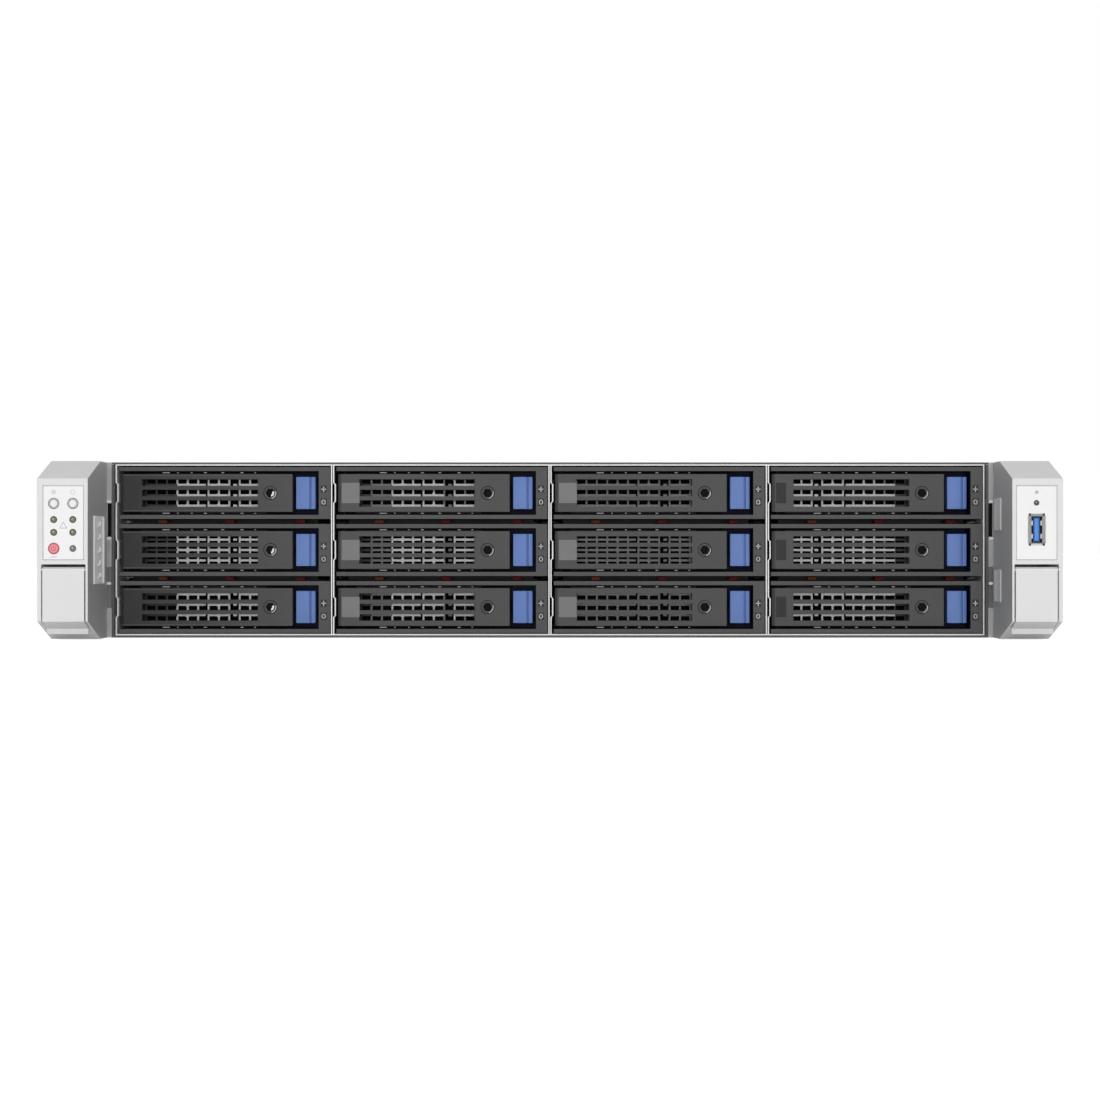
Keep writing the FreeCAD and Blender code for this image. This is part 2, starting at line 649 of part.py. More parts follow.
def ear_bracket():
    """Steel angle behind the right-hand ear, with a slotted strip beside the case."""
    flange = box(CASE_SIDE, EAR_OUTER, FLANGE_Y, FLANGE_Y + BRACKET_SHEET, 0, CASE_HEIGHT)
    leg = box(CASE_SIDE, CASE_SIDE + BRACKET_SHEET, FLANGE_Y, FLANGE_Y + BRACKET_LEG,
              BRACKET_LEG_MARGIN, CASE_HEIGHT - BRACKET_LEG_MARGIN)
    hole = rod_y(RACK_SCREW_X, FLANGE_Y, FLANGE_Y + BRACKET_SHEET, RACK_SCREW_HEIGHT,
                 SCREW_RADIUS + SCREW_CLEARANCE)
    slit_end = EAR_INNER
    slits = [box(CASE_SIDE, slit_end, FLANGE_Y, FLANGE_Y + BRACKET_SLIT_DEPTH, MIDDLE_Z + z0, MIDDLE_Z + z1)
             for z0, z1 in BRACKET_SLITS]
    return fuse([flange, leg]).cut([hole] + slits)


def cable_duct():
    """A duct for the panel's cable on the bracket's leg, behind the room for the rack's rail and nut."""
    x0 = CASE_SIDE + BRACKET_SHEET
    y0 = FLANGE_Y + BRACKET_SLIT_DEPTH
    outline = [(x0, y0), (x0 + DUCT_WIDTH, y0), (x0 + DUCT_WIDTH, y0 + DUCT_LENGTH - DUCT_TAPER),
               (x0, y0 + DUCT_LENGTH)]
    return extrude_z(outline, BRACKET_LEG_MARGIN, CASE_HEIGHT - BRACKET_LEG_MARGIN)


def rack_screw():
    x = RACK_SCREW_X
    z = RACK_SCREW_HEIGHT
    head = prism_y(x, FLANGE_Y - SCREW_HEAD_LENGTH, FLANGE_Y, z, SCREW_HEAD_RADIUS, SCREW_HEAD_SIDES)
    thread_y = FLANGE_Y + BRACKET_SHEET
    neck = prism_y(x, FLANGE_Y, thread_y, z, SCREW_NECK, SCREW_HEAD_SIDES)
    thread = rod_y(x, thread_y, thread_y + SCREW_LENGTH, z, SCREW_RADIUS)
    return fuse([head, neck, thread])


# ---- Panels, lamps, keys and the front socket ----
def key_places():
    """X offset, rise and radius of each key in the left-hand panel."""
    return {"left_round_button": (-KEY_COLUMN, KEY_RISE, KEY_RADIUS),
            "right_round_button": (KEY_COLUMN, KEY_RISE, KEY_RADIUS),
            "power_button": (-KEY_COLUMN, POWER_RISE, POWER_RADIUS)}


def left_panel():
    plate = rounded_plate(-EAR_MIDDLE, PANEL_Y, PANEL_Y + PANEL_THICKNESS, PANEL_Z,
                          PANEL_WIDTH, PANEL_HEIGHT, PANEL_CORNER)
    tools = []
    for offset, rise, radius in key_places().values():
        tools.append(rod_y(offset - EAR_MIDDLE, PANEL_Y, PANEL_Y + PANEL_THICKNESS, PANEL_Z + rise,
                           radius + KEY_CLEARANCE))
    board_y = PANEL_Y + KEY_BOARD_SETBACK
    board = block(-EAR_MIDDLE, board_y, board_y + KEY_BOARD_SHEET, PANEL_Z,
                  EAR_SLOT_OUTER - EAR_SLOT_INNER, PANEL_HEIGHT - 2 * PANEL_LEDGE)
    return [plate.cut(tools), board]


def usb_socket():
    """An upright socket: folded shell with a front lip, and its tongue on a back wall."""
    x = EAR_MIDDLE
    z = PANEL_Z + USB_RISE
    y0 = PANEL_Y
    y1 = PANEL_Y + USB_DEPTH
    lip = block(x, y0 - USB_SHEET / 2, y0, z, USB_WIDTH + 2 * USB_LIP, USB_HEIGHT + 2 * USB_LIP)
    body = block(x, y0, y1, z, USB_WIDTH, USB_HEIGHT)
    hollow = block(x, y0 - USB_SHEET / 2, y1 - USB_SHEET, z, USB_WIDTH - 2 * USB_SHEET,
                   USB_HEIGHT - 2 * USB_SHEET)
    tongue = block(x, y0 + USB_SHEET, y1 - USB_SHEET, z, USB_TONGUE, USB_TONGUE_HEIGHT)
    return [fuse([lip, body]).cut(hollow), tongue]


def right_panel():
    plate = rounded_plate(EAR_MIDDLE, PANEL_Y, PANEL_Y + PANEL_THICKNESS, PANEL_Z,
                          PANEL_WIDTH, PANEL_HEIGHT, PANEL_CORNER)
    hole = block(EAR_MIDDLE, PANEL_Y, PANEL_Y + PANEL_THICKNESS, PANEL_Z + USB_RISE, USB_WIDTH, USB_HEIGHT)
    return [plate.cut(hole)] + usb_socket()


def key(offset, rise, radius):
    """A round cap on the left-hand panel with a bar behind the plate that holds it in."""
    x = offset - EAR_MIDDLE
    z = PANEL_Z + rise
    back = PANEL_Y + PANEL_THICKNESS
    end = PANEL_Y + KEY_BOARD_SETBACK - KEY_TRAVEL - FIT_CLEARANCE
    cap = rod_y(x, PANEL_Y - PANEL_SETBACK / 2, end, z, radius)
    bar = block(x, back + FIT_CLEARANCE, back + FIT_CLEARANCE + KEY_BAR, z, 2 * (radius + KEY_BAR), KEY_BAR)
    return fuse([cap, bar])


# ---- Backplane and fans ----
def backplane():
    board = block(0, BACKPLANE_Y, BACKPLANE_Y + BACKPLANE_SHEET, MIDDLE_Z, 2 * CAGE_SIDE, BACKPLANE_HEIGHT)
    sockets = []
    for row in range(ROWS):
        for column in range(COLUMNS):
            x = bezel_left(column) + BEZEL_WIDTH / 2
            sockets.append(block(x, BACKPLANE_Y - SOCKET_DEPTH, BACKPLANE_Y, row_middle(row),
                                 PLUG_WIDTH, PLUG_HEIGHT))
    vent_width = COLUMN_PITCH - PLUG_WIDTH - 2 * BACKPLANE_VENT_GAP
    vent_height = BACKPLANE_HEIGHT - 2 * BACKPLANE_EDGE
    vents = [block(column_edge(column), BACKPLANE_Y, BACKPLANE_Y + BACKPLANE_SHEET, MIDDLE_Z,
                   vent_width, vent_height) for column in range(1, COLUMNS)]
    return [board.cut(vents)] + sockets


def fan_x(index):
    return (index - (FAN_COUNT - 1) / 2) * FAN_PITCH


def fan_z():
    return SHEET + FAN_SIZE / 2


def fan_frame(index):
    x = fan_x(index)
    z = fan_z()
    y1 = FAN_Y + FAN_DEPTH
    shell = block(x, FAN_Y, y1, z, FAN_SIZE, FAN_SIZE).cut(prism_y(x, FAN_Y, y1, z, FAN_BORE, FAN_SIDES))
    strut_length = 2 * FAN_BORE + FAN_SPIDER
    spider = [block(x, y1 - FAN_SPIDER_DEPTH, y1, z, strut_length, FAN_SPIDER)]
    spider.append(block(x, y1 - FAN_SPIDER_DEPTH, y1, z, FAN_SPIDER, strut_length))
    spider.append(block(x, y1 - FAN_SPIDER_DEPTH, y1, z, FAN_MOTOR, FAN_MOTOR))
    bore = rod_y(x, y1 - FAN_SPIDER_DEPTH, y1, z, FAN_SHAFT + FAN_SHAFT_CLEARANCE)
    return fuse([shell] + spider).cut(bore)


def fan_rotor(index):
    """Hub, shaft and pitched blades, built about the fan's own centre line."""
    x = fan_x(index)
    z = fan_z()
    y1 = FAN_Y + FAN_DEPTH - FAN_SPIDER_DEPTH - FAN_HUB_GAP
    y0 = y1 - FAN_HUB_LENGTH
    hub = prism_y(x, y0, y1, z, FAN_HUB, 2 * FAN_BLADES)
    shaft = rod_y(x, y1, FAN_Y + FAN_DEPTH, z, FAN_SHAFT)
    middle = vec(x, (y0 + y1) / 2, z)
    blades = []
    for i in range(FAN_BLADES):
        blade = block(x, middle.y - FAN_BLADE_CHORD / 2, middle.y + FAN_BLADE_CHORD / 2,
                      z + (FAN_TIP + FAN_HUB / 2) / 2, FAN_BLADE_THICKNESS, FAN_TIP - FAN_HUB / 2)
        blade.rotate(middle, vec(0, 0, 1), FAN_BLADE_ANGLE)
        blade.rotate(middle, vec(0, 1, 0), i * 360.0 / FAN_BLADES)
        blades.append(blade)
    return fuse([hub, shaft] + blades)


# ---- Mainboard, sinks and risers ----
def board_outline():
    """The board is cut away where the power supplies sit."""
    left = -CASE_SIDE + SHEET + BOARD_SIDE_GAP
    right = CASE_SIDE - SHEET - BOARD_SIDE_GAP
    rear = REAR_Y - SHEET - BOARD_REAR_GAP
    step_x = PSU_INNER - BOARD_SIDE_GAP
    step_y = PSU_Y - BOARD_SIDE_GAP
    front = [(left, BOARD_Y), (right, BOARD_Y), (right, step_y)]
    return front + [(step_x, step_y), (step_x, rear), (left, rear)]


def standoffs():
    outline = board_outline()
    left = outline[0][0] + BOARD_SIDE_GAP
    right = outline[3][0] - BOARD_SIDE_GAP
    front = BOARD_Y + BOARD_SIDE_GAP
    rear = outline[4][1] - BOARD_SIDE_GAP
    spots = [(x, front + j * (rear - front) / 2) for x in (left, right) for j in range(3)]
    return [hexagon_z(x, y, SHEET, BOARD_Z, STANDOFF_RADIUS) for x, y in spots]


def sink_middle(side):
    return side * (CASE_SIDE - SINK_SIDE_GAP), BOARD_Y + SINK_FRONT_GAP + SINK_LENGTH / 2


def memory_bank(x, y):
    """Slots and modules in a row beside a processor."""
    pieces = []
    for i in range(MEMORY_PER_SIDE):
        slot_x = x + (i - (MEMORY_PER_SIDE - 1) / 2) * MEMORY_PITCH
        half_slot = MEMORY_SLOT_LENGTH / 2
        half_module = MEMORY_LENGTH / 2
        seat = BOARD_TOP + MEMORY_SLOT_HEIGHT
        slot = box(slot_x - MEMORY_SLOT_WIDTH / 2, slot_x + MEMORY_SLOT_WIDTH / 2,
                   y - half_slot, y + half_slot, BOARD_TOP, BOARD_TOP + MEMORY_SLOT_HEIGHT)
        module = box(slot_x - MEMORY_SHEET / 2, slot_x + MEMORY_SHEET / 2,
                     y - half_module, y + half_module, seat, seat + MEMORY_HEIGHT)
        pieces += [slot, module]
    return pieces


def port(x, width):
    """A metal-shelled socket on the board that looks out through the rear wall."""
    y0 = REAR_Y - PORT_DEPTH
    shell = block(x, y0, REAR_Y, BOARD_TOP + PORT_HEIGHT / 2, width, PORT_HEIGHT)
    hollow = block(x, y0 + PORT_WALL, REAR_Y, BOARD_TOP + PORT_HEIGHT / 2,
                   width - 2 * PORT_WALL, PORT_HEIGHT - 2 * PORT_WALL)
    return shell.cut(hollow)


def port_places():
    """X and width of each rear port: two network sockets, a video socket, one more network socket."""
    start = -CASE_SIDE + SHEET + BOARD_SIDE_GAP + 2 * PORT_GAP
    places = []
    for width in (NETWORK_PORT, NETWORK_PORT, VIDEO_PORT, NETWORK_PORT):
        places.append((start + width / 2, width))
        start += width + PORT_GAP
    return places


def mainboard():
    board = extrude_z(board_outline(), BOARD_Z, BOARD_TOP)
    pieces = [board] + standoffs()
    for side in (1, -1):
        x, y = sink_middle(side)
        pieces.append(box(x - CPU_WIDTH / 2, x + CPU_WIDTH / 2, y - CPU_WIDTH / 2, y + CPU_WIDTH / 2,
                          BOARD_TOP, BOARD_TOP + CPU_HEIGHT))
        bank = (SINK_WIDTH + MEMORY_PER_SIDE * MEMORY_PITCH) / 2 + MEMORY_GAP
        pieces += memory_bank(x - bank, y)
        pieces += memory_bank(x + bank, y)
    return pieces + [port(x, width) for x, width in port_places()]


def heat_sink(side):
    """A base with upright fins that run front to back."""
    x, y = sink_middle(side)
    z0 = BOARD_TOP + CPU_HEIGHT
    z1 = z0 + SINK_HEIGHT
    pitch = (SINK_WIDTH - SINK_FIN) / (SINK_FINS - 1)
    left = x - SINK_WIDTH / 2
    outline = [(left + SINK_WIDTH, z0), (left, z0)]
    for i in range(SINK_FINS):
        fin = left + i * pitch
        if i > 0:
            outline.append((fin, z0 + SINK_BASE))
        outline += [(fin, z1), (fin + SINK_FIN, z1)]
        if i < SINK_FINS - 1:
            outline.append((fin + SINK_FIN, z0 + SINK_BASE))
    return extrude_y(outline, y - SINK_LENGTH / 2, y + SINK_LENGTH / 2)


def riser_x(index):
    """Middle of each stack of expansion slots, counted from the side away from the supplies."""
    return -CASE_SIDE + SHEET + BOARD_SIDE_GAP + RISER_PITCH * (index + 0.5)


def riser_cage(index):
    """Bracket with a card board, and the slot covers that close the rear opening."""
    x = riser_x(index)
    half = SLOT_COVER_WIDTH / 2
    z0 = SLOT_BOTTOM
    z1 = SLOT_TOP
    y0 = REAR_Y - SHEET - RISER_DEPTH
    y1 = REAR_Y - SHEET
    wall = box(x - half, x - half + RISER_SHEET, y0, y1, z0, z1)
    roof = box(x - half, x + half, y0, y1, z1 - RISER_SHEET, z1)
    card_x = x - half + RISER_SHEET
    card = box(card_x, card_x + BOARD_SHEET, y0, y1 - SLOT_PITCH, BOARD_TOP, z1 - RISER_SHEET)
    covers = []
    for i in range(SLOT_COVERS):
        z = z0 + (i + 0.5) * SLOT_PITCH - RISER_SHEET / 2
        cover = block(x, y1, REAR_Y, z, SLOT_COVER_WIDTH - 2 * PSU_CLEARANCE, SLOT_COVER_HEIGHT)
        vents = []
        pitch = SLOT_COVER_WIDTH / (VENT_SLOTS + 1)
        for j in range(VENT_SLOTS):
            vent_x = x + (j - (VENT_SLOTS - 1) / 2) * pitch
            vents.append(block(vent_x, y1, REAR_Y, z, VENT_SLOT_WIDTH, VENT_SLOT_HEIGHT))
        covers.append(cover.cut(vents))
    return [fuse([wall, roof]), card] + covers


# ---- Case ----
def psu_bottom(index):
    """Height of the underside of a supply, centred in its half of the bay."""
    return SHEET + index * (PSU_BAY + PSU_SHELF) + (PSU_BAY - PSU_HEIGHT) / 2


def rear_openings():
    y0 = REAR_Y - SHEET
    tools = []
    for index in range(2):
        z0 = psu_bottom(index)
        tools.append(box(PSU_INNER - PSU_CLEARANCE, PSU_OUTER + PSU_CLEARANCE, y0, REAR_Y,
                         z0 - PSU_CLEARANCE, z0 + PSU_HEIGHT + PSU_CLEARANCE))
    for index in range(RISER_COUNT):
        z0 = SLOT_BOTTOM - FIT_CLEARANCE
        tools.append(box(riser_x(index) - SLOT_COVER_WIDTH / 2, riser_x(index) + SLOT_COVER_WIDTH / 2,
                         y0, REAR_Y, z0, COVER_Z))
    for x, width in port_places():
        tools.append(block(x, y0, REAR_Y, BOARD_TOP + PORT_HEIGHT / 2,
                           width + 2 * FIT_CLEARANCE, PORT_HEIGHT + 2 * FIT_CLEARANCE))
    vent_left = riser_x(RISER_COUNT - 1) + SLOT_COVER_WIDTH / 2 + REAR_VENT_GAP
    vent_right = PSU_INNER - REAR_VENT_GAP
    vent_middle = (vent_left + vent_right) / 2
    for i in range(REAR_VENTS):
        z = MIDDLE_Z + (i - (REAR_VENTS - 1) / 2) * REAR_VENT_PITCH
        tools.append(block(vent_middle, y0, REAR_Y, z, vent_right - vent_left, REAR_VENT_HEIGHT))
    return tools


def chassis_base():
    """The folded tray, with the rear wall and the supplies' wall and shelf riveted into it."""
    top = SLOT_TOP
    inner = CASE_SIDE - SHEET
    outline = [(-CASE_SIDE, 0), (CASE_SIDE, 0), (CASE_SIDE, top), (inner, top),
               (inner, SHEET), (-inner, SHEET), (-inner, top), (-CASE_SIDE, top)]
    tray = extrude_y(outline, FLANGE_Y, REAR_Y)
    rear_wall = box(-inner, inner, REAR_Y - SHEET, REAR_Y, SHEET, top).cut(rear_openings())
    divider_x = PSU_INNER - PSU_CLEARANCE - PSU_SHELF
    psu_wall = box(divider_x, divider_x + PSU_SHELF, PSU_Y, REAR_Y - SHEET, SHEET, top)
    shelf_z = SHEET + PSU_BAY
    shelf = box(divider_x + PSU_SHELF, inner, PSU_Y, REAR_Y - SHEET, shelf_z, shelf_z + PSU_SHELF)
    return [tray, rear_wall, psu_wall, shelf]


def front_cover():
    return box(-CASE_SIDE, CASE_SIDE, FLANGE_Y, SEAM_Y, COVER_Z, CASE_HEIGHT)


def cover_embossing(y0):
    """Two pads for the thumbs behind the seam, and stiffening beads that run to the rear."""
    z0 = CASE_HEIGHT - COVER_EMBOSS
    pad_y = y0 + COVER_PAD_SETBACK
    pad_end = pad_y + COVER_PAD_WIDTH
    half_pad = COVER_PAD_LENGTH / 2
    tools = []
    for side in (1, -1):
        x = side * CASE_SIDE / 2
        tools.append(box(x - half_pad, x + half_pad, pad_y, pad_end, z0, CASE_HEIGHT))
    pitch = 2 * CASE_SIDE / COVER_BEADS
    for i in range(COVER_BEADS):
        x = (i - (COVER_BEADS - 1) / 2) * pitch
        tools.append(box(x - COVER_BEAD_WIDTH / 2, x + COVER_BEAD_WIDTH / 2, pad_end + COVER_BEAD_MARGIN,
                         REAR_Y - COVER_BEAD_MARGIN, z0, CASE_HEIGHT))
    return tools


def rear_cover():
    """The sliding lid, with a guide rail riveted under each side, inside the case walls."""
    y0 = SEAM_Y + COVER_SEAM
    skirt_outer = CASE_SIDE - SHEET - FIT_CLEARANCE
    lid = box(-CASE_SIDE, CASE_SIDE, y0, REAR_Y, COVER_Z, CASE_HEIGHT).cut(cover_embossing(y0))
    skirts = []
    for side in (1, -1):
        x = side * (skirt_outer - COVER_SHEET / 2)
        y1 = PSU_Y - COVER_TRAVEL - PSU_CLEARANCE
        skirts.append(block(x, y0, y1, COVER_Z - COVER_SKIRT / 2, COVER_SHEET, COVER_SKIRT))
    return [lid] + skirts


def power_supply(index):
    """A supply module: vented case, finger loop, and an inlet with three blades."""
    z0 = psu_bottom(index)
    z1 = z0 + PSU_HEIGHT
    z = (z0 + z1) / 2
    inlet_x = PSU_INNER + INLET_WIDTH / 2 + PSU_HANDLE_BAR
    inlet_y = REAR_Y - INLET_DEPTH
    blade_y = inlet_y + INLET_WALL
    loop_x = PSU_OUTER - PSU_HANDLE_WIDTH / 2 - PSU_HANDLE_BAR
    tools = [box(PSU_INNER + PSU_WALL, PSU_OUTER - PSU_WALL, PSU_Y + PSU_WALL, REAR_Y - PSU_WALL,
                 z0 + PSU_WALL, z1 - PSU_WALL)]
    tools.append(block(inlet_x, inlet_y, REAR_Y, z, INLET_WIDTH, INLET_HEIGHT))
    for side in (1, -1):
        vent_z = z + side * (PSU_HEIGHT / 2 - PSU_HANDLE_BAR - PSU_VENT_HEIGHT / 2)
        for i in range(PSU_VENTS):
            vent_x = loop_x + (i - (PSU_VENTS - 1) / 2) * PSU_VENT_PITCH
            tools.append(block(vent_x, REAR_Y - PSU_WALL, REAR_Y, vent_z, PSU_VENT_WIDTH, PSU_VENT_HEIGHT))
    case = box(PSU_INNER, PSU_OUTER, PSU_Y, REAR_Y, z0, z1).cut(tools)
    well = block(inlet_x, inlet_y + INLET_WALL, REAR_Y, z, INLET_WIDTH - 2 * INLET_WALL,
                 INLET_HEIGHT - 2 * INLET_WALL)
    inlet = block(inlet_x, inlet_y, REAR_Y, z, INLET_WIDTH, INLET_HEIGHT).cut(well)
    blades = []
    for offset, rise in INLET_BLADES:
        blades.append(block(inlet_x + offset, blade_y, blade_y + INLET_BLADE_LENGTH,
                            z + rise, INLET_BLADE_WIDTH, INLET_BLADE_HEIGHT))
    loop = block(loop_x, REAR_Y, REAR_Y + PSU_HANDLE_REACH, z, PSU_HANDLE_WIDTH, PSU_HANDLE_THICKNESS)
    finger = block(loop_x, REAR_Y, REAR_Y + PSU_HANDLE_REACH - PSU_HANDLE_BAR, z,
                   PSU_HANDLE_WIDTH - 2 * PSU_HANDLE_BAR, PSU_HANDLE_THICKNESS)
    return [case, inlet, loop.cut(finger)] + blades


def main():
    os.makedirs("parts", exist_ok=True)
    for column in range(COLUMNS):
        for row in range(ROWS):
            name = str(row * COLUMNS + column + 1)
            save("carrier_" + name, carrier(column, row))
            save("lever_" + name, [lever(column, row)])
            save("release_button_" + name, [release_button(column, row)])
    for name, place in key_places().items():
        save(name, [key(*place)])
    for index in range(FAN_COUNT):
        save("fan_rotor_" + str(index + 1), [fan_rotor(index)])
    for index in range(2):
        save("power_supply_" + str(index + 1), power_supply(index))
    save("left_flap", [mirrored(flap())])
    save("right_flap", [flap()])
    save("left_ear", [left_ear()])
    save("right_ear", [right_ear()])
    save("ear_brackets", [ear_bracket(), mirrored(ear_bracket()), cable_duct(), mirrored(cable_duct())])
    save("rack_screws", [rack_screw(), mirrored(rack_screw())])
    save("ear_panels", left_panel() + right_panel())
    save("drive_cage", [drive_cage()])
    save("backplane", backplane())
    save("fan_frames", [fan_frame(index) for index in range(FAN_COUNT)])
    save("mainboard", mainboard())
    save("heat_sinks", [heat_sink(side) for side in (1, -1)])
    risers = []
    for index in range(RISER_COUNT):
        risers += riser_cage(index)
    save("riser_cages", risers)
    save("chassis_base", chassis_base())
    save("front_cover", [front_cover()])
    save("rear_cover", rear_cover())


main()
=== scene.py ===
"""Looks of the 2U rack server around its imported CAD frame.

Lengths of pieces are in millimetres until Piece.done writes them in metres.
Materials, floor, lamps and camera are in metres.
"""

import math

import bmesh
import bpy
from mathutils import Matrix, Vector

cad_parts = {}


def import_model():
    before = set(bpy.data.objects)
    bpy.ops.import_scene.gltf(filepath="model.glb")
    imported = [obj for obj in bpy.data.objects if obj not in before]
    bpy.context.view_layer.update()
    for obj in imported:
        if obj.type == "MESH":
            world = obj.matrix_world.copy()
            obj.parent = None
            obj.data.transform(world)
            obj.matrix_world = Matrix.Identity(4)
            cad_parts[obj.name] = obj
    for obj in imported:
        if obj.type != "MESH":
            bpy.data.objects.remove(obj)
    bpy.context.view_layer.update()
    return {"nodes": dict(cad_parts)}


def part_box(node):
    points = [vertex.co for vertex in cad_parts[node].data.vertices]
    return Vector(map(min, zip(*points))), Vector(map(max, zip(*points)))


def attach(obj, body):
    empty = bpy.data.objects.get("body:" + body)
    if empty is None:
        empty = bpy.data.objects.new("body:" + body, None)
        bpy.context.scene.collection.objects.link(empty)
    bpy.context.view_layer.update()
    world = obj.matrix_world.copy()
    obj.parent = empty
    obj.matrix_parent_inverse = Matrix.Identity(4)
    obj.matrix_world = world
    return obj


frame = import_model()
NODES = frame["nodes"]
MM = 0.001
CARRIERS = 12
COLUMNS = 4
ROWS = 3
FANS = 3
SUPPLIES = 2
BAY_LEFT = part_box("lever_1")[0].x / MM
COLUMN_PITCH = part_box("lever_2")[0].x / MM - BAY_LEFT
ROW_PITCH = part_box(f"lever_{COLUMNS + 1}")[0].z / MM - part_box("lever_1")[0].z / MM


# ---- Materials ----
def linear(value):
    """A screen value from 0 to 255 as the linear value that a shader takes."""
    part = value / 255
    return part / 12.92 if part <= 0.04045 else ((part + 0.055) / 1.055) ** 2.4


def add_object(name, data):
    made = bpy.data.objects.new(name, data)
    bpy.context.scene.collection.objects.link(made)
    return made


def add_material(name):
    """A new material, its node tree and its shader."""
    made = bpy.data.materials.new(name)
    made.use_nodes = True
    return made, made.node_tree, made.node_tree.nodes["Principled BSDF"]


def feed(tree, made, inputs):
    """Give each named input of a node its value, or join it to the output of another node."""
    for key, value in inputs.items():
        if isinstance(value, bpy.types.NodeSocket):
            tree.links.new(value, made.inputs[key])
        else:
            made.inputs[key].default_value = value


def node(tree, kind, inputs, **settings):
    made = tree.nodes.new("ShaderNode" + kind)
    for key, value in settings.items():
        setattr(made, key, value)
    feed(tree, made, inputs)
    return made


# Whole pitches added before a remainder is taken, so that it is never of a negative number.
SWEEP_SHIFT = 8
CLOUD_LOW = 0.3
CLOUD_HIGH = 0.72
RELIEF = 0.0002
ROUGH_SWING = 0.12


def tint(tree, base, factor):
    """A colour scaled by a factor, both of them outputs of nodes."""
    return node(tree, "VectorMath", {0: base, "Scale": factor}, operation="SCALE").outputs["Vector"]


def spangle(tree, mapping, scale):
    """Crystals of galvanised sheet: a factor that differs from cell to cell."""
    cells = node(tree, "TexVoronoi", {"Vector": mapping, "Scale": scale})
    limits = {"Value": cells.outputs["Color"], "To Min": 0.9, "To Max": 1.06}
    return node(tree, "MapRange", limits).outputs["Result"]


def light_and_shade_along_columns(tree, place, shade_sweep):
    """A factor that runs from first to last across each column of bays, from X alone: painted shade towards
    a lever's left end and painted light towards its right.
    """
    pitch, start, first, last = shade_sweep
    x = node(tree, "SeparateXYZ", {"Vector": place}).outputs["X"]
    moved = node(tree, "Math", {0: x, 1: SWEEP_SHIFT * pitch - start}, operation="ADD")
    turned = node(tree, "Math", {0: moved.outputs[0], 1: pitch}, operation="MODULO")
    limits = {"Value": turned.outputs[0], "From Max": pitch, "To Min": first, "To Max": last}
    return node(tree, "MapRange", limits).outputs["Result"]


def surface(name, tone, dark=0.9, light=1.05, rough=0.5, metal=0.0, grain=900.0, bump=0.08, cloud=14.0,
            stretch=(1, 1, 1), coat=0.0, spots=0.0, gloss=0.5, shade_sweep=None):
    """A shader with cloudy tone, fine grain in its bump, roughness that wanders over the surface, and,
    where a sweep is given, painted shade and light across each column of bays.
    """
    made, tree, shader = add_material(name)
    place = node(tree, "TexCoord", {}).outputs["Object"]
    mapping = node(tree, "Mapping", {"Vector": place, "Scale": stretch}).outputs["Vector"]
    noise = {"Vector": mapping, "Scale": cloud, "Detail": 6.0, "Roughness": 0.6}
    clouds = node(tree, "TexNoise", noise).outputs["Fac"]
    fine = node(tree, "TexNoise", {"Vector": mapping, "Scale": grain, "Detail": 3.0})
    ramp = node(tree, "ValToRGB", {"Fac": clouds})
    levels = (tone, tone, tone) if isinstance(tone, int) else tone
    for element, position, factor in zip(ramp.color_ramp.elements, (CLOUD_LOW, CLOUD_HIGH), (dark, light)):
        element.position = position
        element.color = (*[min(1, linear(c) * factor) for c in levels], 1)
    base = ramp.outputs["Color"]
    if spots:
        base = tint(tree, base, spangle(tree, mapping, spots))
    if shade_sweep:
        base = tint(tree, base, light_and_shade_along_columns(tree, place, shade_sweep))
    low = rough - ROUGH_SWING / 2
    high = rough + ROUGH_SWING / 2
    limits = {"Value": clouds, "From Min": 0.3, "From Max": 0.7, "To Min": low, "To Max": high}
    swing = node(tree, "MapRange", limits)
    relief = {"Height": fine.outputs["Fac"], "Strength": bump, "Distance": RELIEF}
    normal = node(tree, "Bump", relief).outputs["Normal"]
    feed(tree, shader, {"Base Color": base, "Roughness": swing.outputs["Result"], "Normal": normal,
                        "Specular IOR Level": gloss, "Metallic": metal})
    if coat:
        feed(tree, shader, {"Coat Weight": coat, "Coat Roughness": 0.15})
    return made


